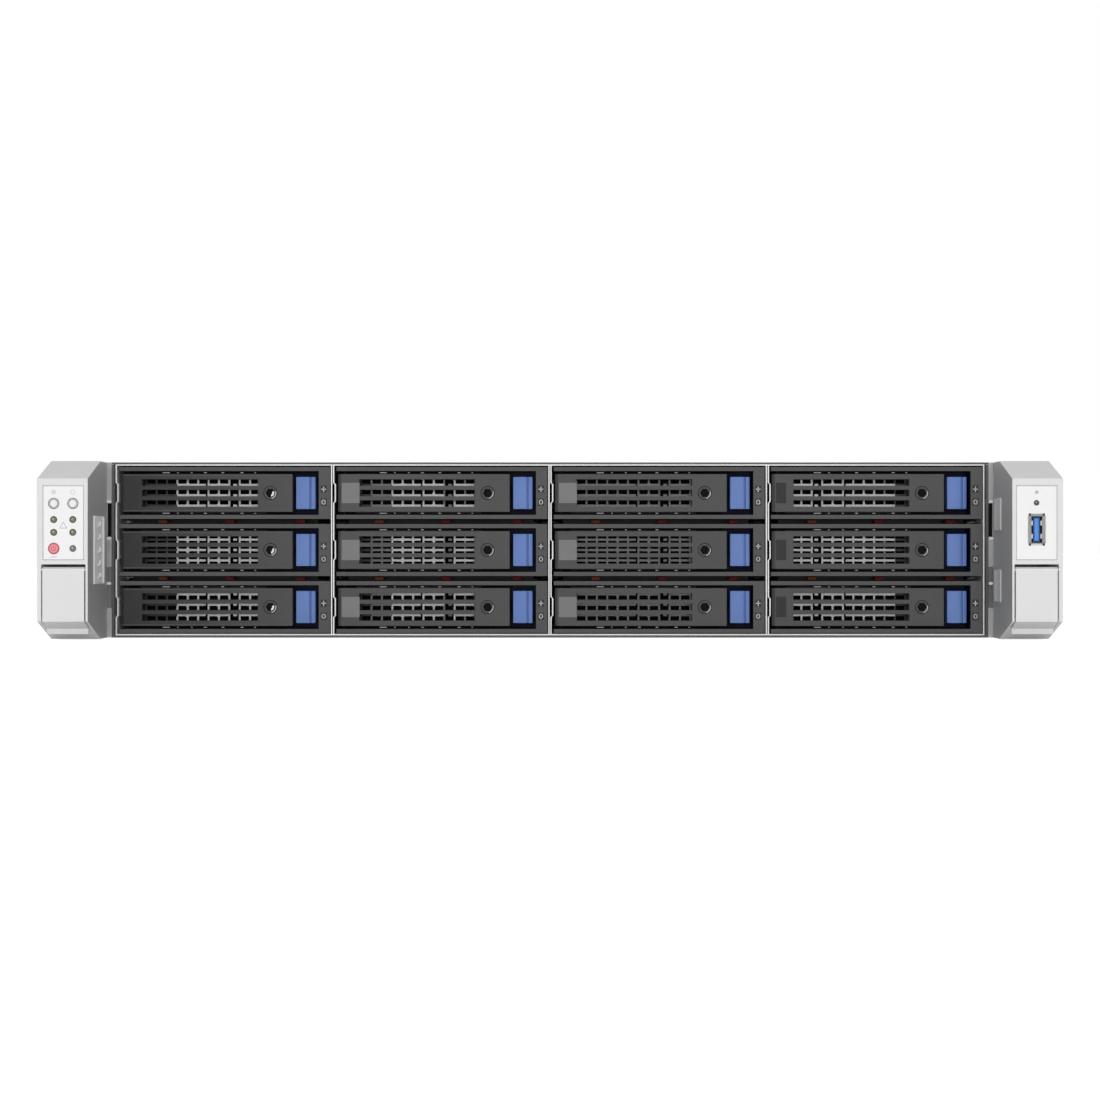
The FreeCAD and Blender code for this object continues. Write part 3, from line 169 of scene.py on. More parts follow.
# In each row: name, tone, dark, light, rough, metal, grain, bump, cloud and stretch, then the rest by name.
# A tone is one screen value from 0 to 255, or three.
M = {
    "ear": surface("ear_silver", 236, 0.97, 1.02, 0.42, 0.0, 2600, 0.05, 9, coat=0.1),
    # Painted shade on the ears' inner walls, and painted light and shade on the strips and ribs there.
    "ear_wall": surface("ear_wall_painted_shade", 158, 0.94, 1.04, 0.5, 0.0, 2600, 0.06, 12),
    "ear_rib": surface("ear_rib_painted_light", 244, 0.94, 1.04, 0.45, 0.0, 2600, 0.06, 12),
    "ear_rib_dim": surface("ear_rib_shaded", 204, 0.94, 1.04, 0.45, 0.0, 2600, 0.06, 12),
    "ear_slope": surface("ear_slope_painted_shade", 210, 0.96, 1.03, 0.45, 0.0, 2600, 0.05, 12),
    "flap_lip": surface("flap_lip_grey", 222, 0.95, 1.03, 0.45, 0.0, 2600, 0.05, 12),
    "panel": surface("panel_white", 254, 0.985, 1.01, 0.35, 0.0, 3000, 0.03, 10),
    "line": surface("panel_line_grey", 168, 0.92, 1.05, 0.5),
    "case": surface("case_galvanised", 186, 0.93, 1.04, 0.38, 0.55, 1600, 0.05, 18, spots=160),
    "cover": surface("cover_galvanised", 192, 0.94, 1.04, 0.4, 0.5, 1500, 0.05, 10, spots=120),
    "cage": surface("cage_sheet", 236, 0.92, 1.06, 0.4, 0.2, 1800, 0.06, 40, (1, 0.2, 1)),
    "cage_dark": surface("cage_shade", 76, 0.8, 1.2, 0.55, 0.0, 1800, 0.06, 30, gloss=0.2),
    "bracket_shade": surface("bracket_set_back_painted_shade", 126, 0.9, 1.06, 0.45, 0.2, 1500, 0.06, 30),
    "recess": surface("cover_recess_painted_shade", 172, 0.94, 1.04, 0.42, 0.4, 1500, 0.05, 10, spots=120),
    "bracket": surface("bracket_sheet", 190, 0.9, 1.06, 0.36, 0.45, 1500, 0.06, 30, spots=200),
    "screw": surface("nickel_screw", 200, 0.88, 1.06, 0.28, 0.9, 2200, 0.05, 60),
    "bezel": surface("bezel_charcoal", 90, 0.92, 1.07, 0.55, 0.0, 3200, 0.14, 40, gloss=0.15),
    "pocket": surface("pocket_painted_shade", (15, 15, 19), 0.85, 1.15, 0.55, 0.0, 2800, 0.1, 60, gloss=0.15),
    "pocket_blue": surface("pocket_navy_painted_shade", (18, 23, 48), 0.85, 1.15, 0.5, 0.0, 2800, 0.1, 60, gloss=0.2),
    # The first column's levers carry painted shade at their left ends and painted light at their right
    # ends.
    "lever": surface("lever_graphite_painted_shade", 80, 0.93, 1.06, 0.5, 0.0, 3200, 0.12, 30, gloss=0.15,
        shade_sweep=(COLUMN_PITCH * MM, BAY_LEFT * MM, 0.5, 1.3)),
    "lever_even": surface("lever_graphite_even", 86, 0.93, 1.06, 0.5, 0.0, 3200, 0.12, 30, gloss=0.15),
    "lever_pad": surface("lever_pad_grey", 58, 0.92, 1.08, 0.5, 0.0, 2400, 0.06, 60, gloss=0.15),
    "pad_light": surface("lever_pad_painted_reflection", 126, 0.94, 1.05, 0.4, 0.0, 2400, 0.06, 60, gloss=0.3),
    "dark_window_and_corner": surface("status_window_and_corner_shade", 44, 0.88, 1.12, 0.3, 0.0, 2400, 0.05, 80, gloss=0.3),
    "edge_dark": surface("sheet_edge_and_recess_wall_shade", 92, 0.85, 1.15, 0.5, 0.3, 2000, 0.08, 60),
    "blue": surface("release_blue", (96, 126, 188), 0.93, 1.05, 0.36, 0.0, 3000, 0.06, 60, coat=0.15),
    "grid": surface("grid_nickel_and_glint", 226, 0.9, 1.05, 0.3, 0.25, 2500, 0.06, 120),
    "grid_mid": surface("grid_half_shade_and_glint", 152, 0.85, 1.1, 0.4, 0.1, 2500, 0.06, 120),
    "grid_dark": surface("grid_shaded", 88, 0.85, 1.1, 0.5, 0.0, 2500, 0.06, 120, gloss=0.3),
    "drive": surface("drive_cast", 150, 0.9, 1.06, 0.5, 0.6, 1500, 0.16, 30),
    "drive_plate": surface("drive_lid", 188, 0.94, 1.05, 0.3, 0.75, 900, 0.08, 20, (1, 8, 1)),
    "rail": surface("rail_steel", 178, 0.9, 1.06, 0.35, 0.7, 1500, 0.06, 30),
    "black": surface("connector_black", 28, 0.85, 1.2, 0.5, 0.0, 2500, 0.1, 60, gloss=0.3),
    "gold": surface("contact_gold", (212, 178, 98), 0.9, 1.05, 0.25, 0.9, 2500, 0.03, 80),
    "key": surface("key_white", 250, 0.98, 1.0, 0.3, 0.0, 3000, 0.02, 50, coat=0.2),
    "red": surface("power_red", (250, 148, 160), 0.95, 1.04, 0.3, 0.0, 3000, 0.03, 70, coat=0.25),
    "red_deep": surface("power_red_rim", (196, 66, 82), 0.93, 1.05, 0.35, 0.0, 3000, 0.03, 70),
    "ring": surface("key_ring_grey", 92, 0.9, 1.1, 0.4, 0.0, 3000, 0.04, 70),
    "amber": surface("lamp_olive", (118, 122, 82), 0.88, 1.12, 0.22, 0.0, 3000, 0.03, 200, coat=0.3),
    "amber_rim": surface("lamp_rim", (60, 62, 46), 0.9, 1.1, 0.4, 0.0, 3000, 0.03, 200),
    "lamp_grey": surface("lamp_grey", 118, 0.88, 1.12, 0.25, 0.0, 3000, 0.03, 200, coat=0.3),
    "lamp_red": surface("lamp_dark_red", (92, 62, 68), 0.88, 1.12, 0.25, 0.0, 3000, 0.03, 200, coat=0.3),
    "lavender": surface("icon_lavender", (196, 194, 222), 0.96, 1.03, 0.5),
    "print_and_glint": surface("pale_print_and_glint", 206, 0.95, 1.05, 0.5, 0.0, 3000, 0.03, 60),
    "usb": surface("usb_shell", 150, 0.85, 1.08, 0.3, 0.7, 2500, 0.05, 80),
    "usb_navy": surface("usb_insulator_navy", (24, 62, 120), 0.88, 1.1, 0.45, 0.0, 2500, 0.06, 60),
    "usb_blue": surface("usb_tongue_blue", (88, 152, 232), 0.92, 1.06, 0.4, 0.0, 2500, 0.06, 60),
    "spot_red": surface("pipe_red", (96, 26, 24), 0.85, 1.15, 0.6, 0.0, 2500, 0.03, 200, gloss=0.1),
    "spot_orange": surface("pipe_orange", (104, 52, 26), 0.85, 1.15, 0.6, 0.0, 2500, 0.03, 200, gloss=0.1),
    "board": surface("board_green", (38, 96, 66), 0.86, 1.12, 0.4, 0.0, 1200, 0.12, 60, coat=0.3),
    "fan": surface("fan_black", 38, 0.85, 1.18, 0.45, 0.0, 2400, 0.1, 40),
    "sink": surface("sink_aluminium", 196, 0.92, 1.05, 0.32, 0.85, 1400, 0.05, 40, (1, 0.15, 1)),
    "supply": surface("supply_zinc", 190, 0.93, 1.05, 0.36, 0.6, 1500, 0.06, 22, spots=180),
    "hole_shade": surface("hole_painted_shade", 16, 0.8, 1.25, 0.6, 0.0, 1500, 0.1, 60, gloss=0.1),
    "chip": surface("chip_black", 44, 0.88, 1.12, 0.4, 0.0, 2500, 0.06, 60),
    "video_blue": surface("video_blue", (52, 86, 168), 0.9, 1.08, 0.4, 0.0, 2500, 0.06, 60),
    "pull": surface("pull_charcoal", 58, 0.9, 1.1, 0.42, 0.0, 2500, 0.12, 50),
    "green_lamp": surface("lamp_green", (120, 168, 120), 0.9, 1.1, 0.25, 0.0, 2500, 0.03, 200),
}


BEVEL_ANGLE = math.radians(35)


def dress(name, keys, choose=None, bevel=0.0):
    """Give a CAD node its finishes; choose(centre, normal) in mm picks the finish of each face."""
    thing = NODES[name]
    thing.data.materials.clear()
    for key in keys:
        thing.data.materials.append(M[key])
    for face in thing.data.polygons:
        face.material_index = keys.index(choose(face.center / MM, face.normal)) if choose else 0
    if bevel:
        weld = thing.modifiers.new("weld", "WELD")
        weld.merge_threshold = 1e-6
        edge = thing.modifiers.new("edge", "BEVEL")
        edge.width = bevel * MM
        edge.segments = 2
        edge.limit_method = "ANGLE"
        edge.angle_limit = BEVEL_ANGLE
        edge.use_clamp_overlap = True


# ---- Mesh building ----
class Piece:
    """One mesh gathered from small forms, each with its own finish."""

    def __init__(self):
        self.mesh = bmesh.new()
        self.keys = []

    def slot(self, key):
        if key not in self.keys:
            self.keys.append(key)
        return self.keys.index(key)

    def solid(self, lower, upper, key, bevel=0.0):
        """Join two outlines of equal length with side walls and caps, and bevel the edges if asked."""
        index = self.slot(key)
        count = len(lower)
        first = [self.mesh.verts.new(p) for p in lower]
        second = [self.mesh.verts.new(p) for p in upper]
        faces = [self.mesh.faces.new(first), self.mesh.faces.new(second)]
        for i in range(count):
            j = (i + 1) % count
            faces.append(self.mesh.faces.new((first[i], first[j], second[j], second[i])))
        for face in faces:
            face.material_index = index
        bmesh.ops.recalc_face_normals(self.mesh, faces=faces)
        if bevel:
            edges = list({edge for face in faces for edge in face.edges})
            bmesh.ops.bevel(self.mesh, geom=edges, offset=bevel, segments=2, affect="EDGES",
                            clamp_overlap=True, material=index)

    def box(self, x0, x1, y0, y1, z0, z1, key, bevel=0.0):
        self.plate_z([(x0, y0), (x1, y0), (x1, y1), (x0, y1)], z0, z1, key, bevel)

    def bar(self, x, z, half_x, half_z, y0, y1, key, bevel=0.0):
        """A box about a middle (x, z), from a front y0 to a back y1."""
        self.box(x - half_x, x + half_x, y0, y1, z - half_z, z + half_z, key, bevel)

    def plate_y(self, outline, y0, y1, key, bevel=0.0):
        """Extrude (x, z) points from y0 to y1."""
        self.solid([(x, y0, z) for x, z in outline], [(x, y1, z) for x, z in outline], key, bevel)

    def plate_z(self, outline, z0, z1, key, bevel=0.0):
        self.solid([(x, y, z0) for x, y in outline], [(x, y, z1) for x, y in outline], key, bevel)

    def plate_x(self, outline, x0, x1, key, bevel=0.0):
        self.solid([(x0, y, z) for y, z in outline], [(x1, y, z) for y, z in outline], key, bevel)

    def lathe(self, centre, axis, profile, key, steps=28):
        """Turn a profile of (radius, distance along axis) points about an axis through a centre."""
        index = self.slot(key)
        axis = Vector(axis)
        side = Vector((0, 0, 1)) if abs(axis.z) < 0.5 else Vector((1, 0, 0))
        other = axis.cross(side)
        centre = Vector(centre)
        rings = []
        for radius, along in profile:
            if radius < 1e-6:
                rings.append([self.mesh.verts.new(centre + axis * along)])
                continue
            ring = []
            for i in range(steps):
                turn = 2 * math.pi * i / steps
                outward = side * math.cos(turn) + other * math.sin(turn)
                ring.append(self.mesh.verts.new(centre + axis * along + outward * radius))
            rings.append(ring)
        faces = []
        for one, two in zip(rings, rings[1:]):
            for i in range(steps):
                j = (i + 1) % steps
                corners = [one[i % len(one)], one[j % len(one)], two[j % len(two)], two[i % len(two)]]
                corners = list(dict.fromkeys(corners))
                if len(corners) > 2:
                    faces.append(self.mesh.faces.new(corners))
        for face in faces:
            face.material_index = index
            face.smooth = True
        bmesh.ops.recalc_face_normals(self.mesh, faces=faces)

    def done(self, name, body):
        """Write the mesh in metres, give it its finishes and hang it on a body."""
        for vert in self.mesh.verts:
            vert.co *= MM
        data = bpy.data.meshes.new(name)
        self.mesh.to_mesh(data)
        self.mesh.free()
        for key in self.keys:
            data.materials.append(M[key])
        thing = add_object(name, data)
        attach(thing, body)


def span(name):
    """Lowest and highest corner of a CAD node, in mm."""
    low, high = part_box(name)
    return low / MM, high / MM


def middle_of(name):
    low, high = span(name)
    return (low + high) / 2


def circle(x, z, radius, steps):
    turns = [2 * math.pi * i / steps for i in range(steps)]
    return [(x + radius * math.cos(t), z + radius * math.sin(t)) for t in turns]


def ring_y(piece, x, z, y0, y1, outer, inner, key, steps=32):
    """A flat ring that faces -Y, from a front y0 to a back y1."""
    piece.lathe((x, 0, z), (0, 1, 0), [(inner, y1), (inner, y0), (outer, y0), (outer, y1)], key, steps)


# ---- Places and sizes taken from the frame ----
EAR_LOW, EAR_HIGH = span("right_ear")
FLAP_LOW, FLAP_HIGH = span("right_flap")
CASE_LOW, CASE_HIGH = span("chassis_base")
FRONT_COVER_HIGH = span("front_cover")[1]
FLANGE_Y = EAR_HIGH.y
EAR_FRONT = EAR_LOW.y
EAR_FLOOR = FLAP_LOW.z
EAR_MIDDLE = (FLAP_LOW.x + FLAP_HIGH.x) / 2
REAR_Y = CASE_HIGH.y
SEAM_Y = FRONT_COVER_HIGH.y
COVER_TOP = FRONT_COVER_HIGH.z
MIDDLE_Z = COVER_TOP / 2
CARRIER_SPAN = {i: span(f"carrier_{i}") for i in range(1, CARRIERS + 1)}
LEVER_SPAN = {i: span(f"lever_{i}") for i in range(1, CARRIERS + 1)}
KEYS = {name: middle_of(name) for name in ("left_round_button", "right_round_button")}
POWER = middle_of("power_button")

# ---- Sizes of small features, as in the frame's solids ----
STRIP_RAISE = 0.6
EAR_INNER = EAR_LOW.x + STRIP_RAISE
KEY_RISE = 9.1
KEY_Z = KEYS["left_round_button"].z
PANEL_Z = KEY_Z - KEY_RISE
USB_Z = 52.6
PLATE_Y = EAR_FRONT + 0.3
BEZEL_DEPTH = 13.0
STATUS_STRIP = 5.6
LOCK_SETBACK = 10.8
INLET_DEPTH = 17.0
INLET_HALF = Vector((13.5, 0.0, 10.0))
INLET_EDGE = 4.0

# A face leans when a part of its normal passes LEANING, and is square to an axis when it passes SQUARE.
LEANING = 0.3
SQUARE = 0.9
NEAR = 0.1


# ---- The CAD nodes' own finishes ----
FLAP_LIP_RISE = 9.0
EMBOSS_REACH = 0.8
COVER_EDGE = 3.0
SLOT_COVER_ROOM = 20.0
CAGE_LIT_FRONT = 3.0
CAGE_LIT_SIDE = 4.0


def ear_face(centre, normal):
    """The inner wall is painted in shade, and the raised strip and ribs on it are paler: the left ear's
    strip in painted light, the right ear's in a lighter painted shade.
    """
    inward = -normal.x if centre.x > 0 else normal.x
    if abs(centre.x) < EAR_INNER - 0.05:
        return "ear_rib_dim" if centre.x > 0 else "ear_rib"
    # Chamfers that lean up or down at the front are painted a little darker, as painted shade.
    if abs(normal.z) > LEANING and normal.y < -LEANING:
        return "ear_slope"
    return "ear_wall" if inward > 0.7 and abs(centre.x) < EAR_INNER + 0.5 else "ear"


def flap_face(centre, normal):
    # Chamfers that lean up or down at the front are painted a little darker, as painted shade.
    if abs(normal.z) > LEANING and normal.y < -LEANING:
        return "ear_slope"
    # The lip's upward and front faces near the bottom are painted a little darker than the flap, as painted
    # shade.
    outward = normal.z > LEANING or normal.y < -SQUARE
    return "flap_lip" if centre.z < EAR_FLOOR + FLAP_LIP_RISE and outward else "ear"


def case_face(centre, normal):
    return "edge_dark" if normal.y < -SQUARE and centre.y < FLANGE_Y + NEAR else "case"


def front_cover_face(centre, normal):
    return "edge_dark" if normal.y < -SQUARE else "cover"


def rear_cover_face(centre, normal):
    """Floors of the embossing get a painted shade, and their low walls a darker painted shade."""
    inside = abs(centre.x) < CASE_HIGH.x - COVER_EDGE
    if COVER_TOP - EMBOSS_REACH < centre.z < COVER_TOP - NEAR and normal.z > -0.5 and inside:
        return "recess" if normal.z > 0.5 else "edge_dark"
    return "cover"


def riser_face(centre, normal):
    return "board" if abs(normal.x) > SQUARE and centre.y < REAR_Y - SLOT_COVER_ROOM else "case"


def cage_face(centre, normal):
    """The front and the outer sides catch the light, and what is behind them is in shade."""
    lit = centre.y < FLANGE_Y + CAGE_LIT_FRONT or abs(centre.x) > CASE_HIGH.x - CAGE_LIT_SIDE
    return "cage" if lit else "cage_dark"


for side in ("left", "right"):
    dress(side + "_ear", ["ear", "ear_wall", "ear_rib", "ear_rib_dim", "ear_slope"], ear_face, 0.35)
    dress(side + "_flap", ["ear", "flap_lip", "ear_slope"], flap_face, 0.3)
for name in KEYS:
    dress(name, ["key"], None, 0.2)
dress("power_button", ["red"], None, 0.25)
dress("rack_screws", ["screw"], None, 0.3)
dress("chassis_base", ["case", "edge_dark"], case_face, 0.2)
dress("front_cover", ["cover", "edge_dark"], front_cover_face, 0.2)
dress("rear_cover", ["cover", "recess", "edge_dark"], rear_cover_face)
dress("heat_sinks", ["sink"])
dress("riser_cages", ["case", "board"], riser_face)
dress("drive_cage", ["cage", "cage_dark"], cage_face)
dress("fan_frames", ["fan"])
for i in range(1, FANS + 1):
    dress(f"fan_rotor_{i}", ["fan"])


# ---- Nodes whose solids differ in finish ----
def solids_of(name):
    """Lowest and highest corner, in mm, and faces of each separate solid of a node."""
    data = NODES[name].data
    parent = list(range(len(data.vertices)))

    def root(i):
        while parent[i] != i:
            parent[i] = parent[parent[i]]
            i = parent[i]
        return i

    seen = {}
    for i, vert in enumerate(data.vertices):
        key = tuple(round(c * 1e6) for c in vert.co)
        if key in seen:
            parent[root(i)] = root(seen[key])
        else:
            seen[key] = i
    for face in data.polygons:
        first = root(face.vertices[0])
        for other in face.vertices[1:]:
            parent[root(other)] = first
    groups = {}
    for face in data.polygons:
        groups.setdefault(root(face.vertices[0]), []).append(face)
    result = []
    for faces in groups.values():
        points = [data.vertices[v].co / MM for face in faces for v in face.vertices]
        low = Vector([min(p[i] for p in points) for i in range(3)])
        high = Vector([max(p[i] for p in points) for i in range(3)])
        result.append((low, high, faces))
    return result


def dress_solids(name, keys, pick, bevel=0.0):
    """Give each solid of a node a finish; pick(low, high) returns a finish, or a function of a face."""
    dress(name, keys, None, bevel)
    for low, high, faces in solids_of(name):
        chosen = pick(low, high)
        for face in faces:
            key = chosen(face.center / MM, face.normal) if callable(chosen) else chosen
            face.material_index = keys.index(key)


USB_HALF_WIDTH = 3.8
USB_HALF_HEIGHT = 7.5


def panel_face(centre, normal):
    """The plate and the socket's shell touch, so the faces round the socket's middle are the shell's."""
    beside = abs(centre.x - EAR_MIDDLE) < USB_HALF_WIDTH and abs(centre.z - USB_Z) < USB_HALF_HEIGHT
    return "usb" if centre.x > 0 and beside else "panel"


def panel_solid(low, high):
    """The socket's insulator is the narrow solid, and the board is the tall one behind the plate."""
    size = high - low
    if size.x < 4:
        return "usb_navy"
    if low.y > EAR_FRONT + 5 and size.z > 25:
        return "board"
    return panel_face


def bracket_solid(low, high):
    """The duct is the narrow solid on each bracket, painted near black as painted shade behind the slit."""
    return "pocket" if high.x - low.x < 8 else "bracket"


def backplane_solid(low, high):
    """The board is the wide solid, and the sockets stand on it."""
    return "board" if high.x - low.x > 200 else "black"


def mainboard_solid(low, high):
    """Solids of the mainboard, told apart by their size: what is left over are the rear ports."""
    size = high - low
    if size.x > 200:
        return "board"
    if size.z < 8 and size.x < 9:
        return "screw" if size.z > 5 and low.z < 3 else "chip"
    if size.y > 140:
        return "black"
    if size.y > 120:
        return "board"
    if size.x > 50 and size.y > 50:
        return "screw"
    return "usb"


dress_solids("ear_panels", ["panel", "usb", "usb_navy", "board"], panel_solid)
dress_solids("ear_brackets", ["bracket", "pocket"], bracket_solid, 0.2)
dress_solids("backplane", ["board", "black"], backplane_solid)
dress_solids("mainboard", ["board", "screw", "chip", "black", "usb"], mainboard_solid)


# ---- Carriers and levers ----
def is_drive(low, high):
    size = high - low
    return size.y > 140 and 100 < size.x < 102.5


def drive_face(centre, normal):
    # The drive's front, behind the bezel, is painted near black as painted shade.
    if normal.y < -SQUARE:
        return "hole_shade"
    if normal.z > SQUARE:
        return "drive_plate"
    return "board" if normal.z < -SQUARE else "drive"


def carrier_solid(i):
    """What picks the finishes of one carrier's solids: drive, screen, pin, plug and frame."""
    lever_low, lever_high = LEVER_SPAN[i]
    carrier_low, carrier_high = CARRIER_SPAN[i]
    front = carrier_low.y
    back = front + BEZEL_DEPTH

    def frame_face(centre, normal):
        if centre.y > back + 0.5 or (abs(normal.x) > SQUARE and centre.y > back):
            return "rail"
        inside = front + 0.2 < centre.y < back
        # Bezel faces inside the lever's pocket are painted near black as painted shade, and navy beside the
        # blue button as painted shade with a painted blue reflection.
        if inside and lever_low.x - 0.2 < centre.x < carrier_high.x - STATUS_STRIP + 0.2:
            return "pocket_blue" if centre.x > lever_high.x - 1 else "pocket"
        return "bezel"

    def pick(low, high):
        size = high - low
        if is_drive(low, high):
            return drive_face
        # The thin screen solid gets the grid's painted shade.
        if size.y < 1.2:
            return "grid_dark"
        # The lever's pivot pin is painted near black as painted shade.
        if size.x < 3 and size.z > 15:
            return "pocket"
        if size.x < 60 and low.y > front + 100:
            return "black"
        return frame_face

    return pick


LOCK_SOCKET = 2.25
# Only the first column's finish has the painted shade and light along each lever.
LEVER_FINISH = ("lever", "lever_even", "lever_even", "lever_even")
CARRIER_FINISHES = ["bezel", "pocket", "pocket_blue", "rail", "drive", "drive_plate", "board", "grid_dark",
                    "hole_shade", "black"]


def column_of(i):
    """Column of a carrier, from 0 at the left."""
    return (i - 1) % COLUMNS


def lock_place(i):
    """Middle of the lock on the lever's face, near the lever's free end."""
    low, high = LEVER_SPAN[i]
    return Vector((high.x - LOCK_SETBACK, low.y, (low.z + high.z) / 2))


def lever_face(i):
    finish = LEVER_FINISH[column_of(i)]
    lock = lock_place(i)

    def face_key(centre, normal):
        across = Vector((centre.x - lock.x, centre.z - lock.z))
        # Faces in the lock's socket are painted near black as painted shade.
        return "hole_shade" if across.length < LOCK_SOCKET and centre.y > lock.y + NEAR else finish

    return face_key


for i in range(1, CARRIERS + 1):
    dress_solids(f"carrier_{i}", CARRIER_FINISHES, carrier_solid(i), 0.15)
    dress(f"lever_{i}", [LEVER_FINISH[column_of(i)], "hole_shade"], lever_face(i), 0.25)
    dress(f"release_button_{i}", ["blue"], None, 0.3)


# ---- Power supplies ----
def inlet_middle(low):
    """X of the inlet's middle, for a supply whose lowest corner is low."""
    return low.x + INLET_EDGE + INLET_HALF.x


def supply_solid(low, high):
    """The case touches the inlet's housing, so faces near the inlet's middle are the housing's."""
    size = high - low
    inlet_x = inlet_middle(low)
    z = (low.z + high.z) / 2

    def case_face(centre, normal):
        near = abs(centre.x - inlet_x) < INLET_HALF.x + NEAR and abs(centre.z - z) < INLET_HALF.z + NEAR
        return "black" if near and centre.y > REAR_Y - INLET_DEPTH - 0.2 else "supply"

    if size.y > 100:
        return case_face
    return "pull" if size.x > 20 else "gold"


for i in range(1, SUPPLIES + 1):
    dress_solids(f"power_supply_{i}", ["supply", "black", "pull", "gold"], supply_solid, 0.2)


# ---- Levers and carriers: lock, pad, grid behind the slots, icons ----
LOCK_RING = [(3.45, -0.2), (3.4, 0.04), (3.15, 0.04), (3.1, 0.1)]
LOCK_RIM = [(3.1, 0.1), (2.95, 0.3), (2.6, 0.34), (2.5, 0.0)]
ARC_STEP = 15
# Width and finish of the finger pad in each column; the middle columns' pale pads are a painted reflection.
PADS = ((7.0, "lever_pad"), (8.8, "pad_light"), (8.8, "pad_light"), (5.0, "lever_pad"))
PAD_INSET = 1.9
PAD_HALF = 5.0
EDGE_INSET = 0.55
GRID_PITCH = 5.15
GRID_START = 10.5
GRID_CELLS = 12
GRID_HALF = 7.6
GRID_DROP = 0.9
GRID_SETBACK = 1.9
GRID_KNOTS = (4, 7, 11)
GRID_RUNS = ((0, 1), (1, 3), (3, 5.75), (6, 8), (8.4, 8.75), (9.1, 11))
SLOT_LINES = (-5.15, 0.0, 5.15)
# One letter for each cell of the grid in each column, from the left: lit (b), painted half shade (m) or
# painted shade (d).
GRID_TONES = ("dddbbbbbbbbb", "dmmbbbbbmbmm", "mmmmmmmmmmmm", "bbbbbbbbbmdd")
TONE_KEYS = {"d": "grid_dark", "m": "grid_mid", "b": "grid"}
WINDOW_RISES = (1.9, -4.5)
WINDOW_HALF = Vector((1.45, 0.0, 1.75))
ICON_SHIFT = 0.4
POCKET_EDGE = 9.95
# Start along the lever and length of each pale glint on the pocket's edges.
GLINTS = ((20.5, 3.5), (27.6, 0.7), (34.4, 0.8), (40.8, 1.4), (49.4, 1.3), (58.8, 1.4), (65.6, 0.7))


def arc_band(x, z, outer, inner, first, last, skew=0):
    """Outline of a band between two radii, from one angle in degrees to another, its inner edge skewed."""
    turns = list(range(first, last + 1, ARC_STEP))
    points = [(outer, turn) for turn in turns] + [(inner, turn + skew) for turn in reversed(turns)]
    return [(x + r * math.cos(math.radians(a)), z + r * math.sin(math.radians(a))) for r, a in points]


def ring_box(piece, x, z, half_width, half_height, line, y, key):
    """A rectangle drawn with four thin bars on a face at y."""
    for side in (1, -1):
        edge = x + side * (half_width - line / 2)
        piece.bar(edge, z, line / 2, half_height, y - 0.06, y + 0.1, key)
        edge = z + side * (half_height - line / 2)
        piece.bar(x, edge, half_width, line / 2, y - 0.06, y + 0.1, key)


def lever_trim(i):
    """Collar of the lock with painted highlights, finger pad, and fine lines along the lever's edges."""
    low, high = LEVER_SPAN[i]
    lock = lock_place(i)
    y = lock.y
    z = lock.z
    piece = Piece()
    # The outer ring is painted near black as painted shade in the groove round the collar.
    piece.lathe(lock, (0, -1, 0), LOCK_RING, "pocket", 32)
    piece.lathe(lock, (0, -1, 0), LOCK_RIM, "bezel", 32)
    # A pale arc on the collar, and in the first column a pale crescent in the socket, are painted
    # highlights.
    piece.plate_y(arc_band(lock.x, z, 2.95, 2.6, -75, 15), y - 0.38, y - 0.3, "print_and_glint")
    if column_of(i) == 0:
        piece.plate_y(arc_band(lock.x, z, 1.85, 0.9, -75, 30), y + 0.1, y + 0.3, "grid")
    width, key = PADS[column_of(i)]
    start = low.x + PAD_INSET
    piece.box(start, start + width, y - 0.12, y + 0.2, z - PAD_HALF, z + PAD_HALF, key, 0.1)
    for edge in (low.z + EDGE_INSET, high.z - EDGE_INSET):
        piece.box(low.x + 1.2, high.x - 0.6, y - 0.06, y + 0.2, edge - 0.2, edge + 0.2, "bezel")
    piece.done(f"lever_trim_{i}", f"lever_{i}")


def grid_tone(column, cell):
    return TONE_KEYS[GRID_TONES[column][min(int(cell), GRID_CELLS - 1)]]


def grid(piece, column, start, z, drop, back):
    """Upright bars, and level bars that stop and start along each slot, with knots where they cross."""
    for k in range(GRID_CELLS):
        x = start + k * GRID_PITCH
        tone = grid_tone(column, k)
        piece.bar(x, z, 0.45, GRID_HALF, back - 1.2, back - 0.6, tone, 0.1)
    runs = GRID_RUNS
    if column == COLUMNS - 1:
        runs = [(GRID_CELLS - 1 - last, GRID_CELLS - 1 - first) for first, last in GRID_RUNS]
    for line in SLOT_LINES:
        bar = z + line + drop
        for first, last in runs:
            piece.box(start + first * GRID_PITCH, start + last * GRID_PITCH, back - 1.6, back - 1.0,
                      bar - 0.55, bar + 0.55, grid_tone(column, first), 0.1)
        for k in GRID_KNOTS:
            x = start + k * GRID_PITCH
            tone = grid_tone(column, k)
            piece.bar(x, bar, 0.9, 0.95, back - 1.7, back - 1.2, tone, 0.2)


def status_icons(piece, x, y, z):
    """Two dark windows on the status strip, one with a cross and one with a small rectangle."""
    upper, lower = (z + rise for rise in WINDOW_RISES)
    for middle in (upper, lower):
        piece.bar(x, middle, WINDOW_HALF.x, WINDOW_HALF.z, y - 0.06, y + 0.4, "dark_window_and_corner")
    piece.box(x - 0.22, x + 0.22, y - 0.12, y + 0.1, z + 0.5, z + 3.1, "print_and_glint")
    piece.box(x - 1.15, x + 1.15, y - 0.12, y + 0.1, z + 1.6, z + 2.05, "print_and_glint")
    ring_box(piece, x, lower, 0.95, 1.15, 0.42, y - 0.06, "print_and_glint")


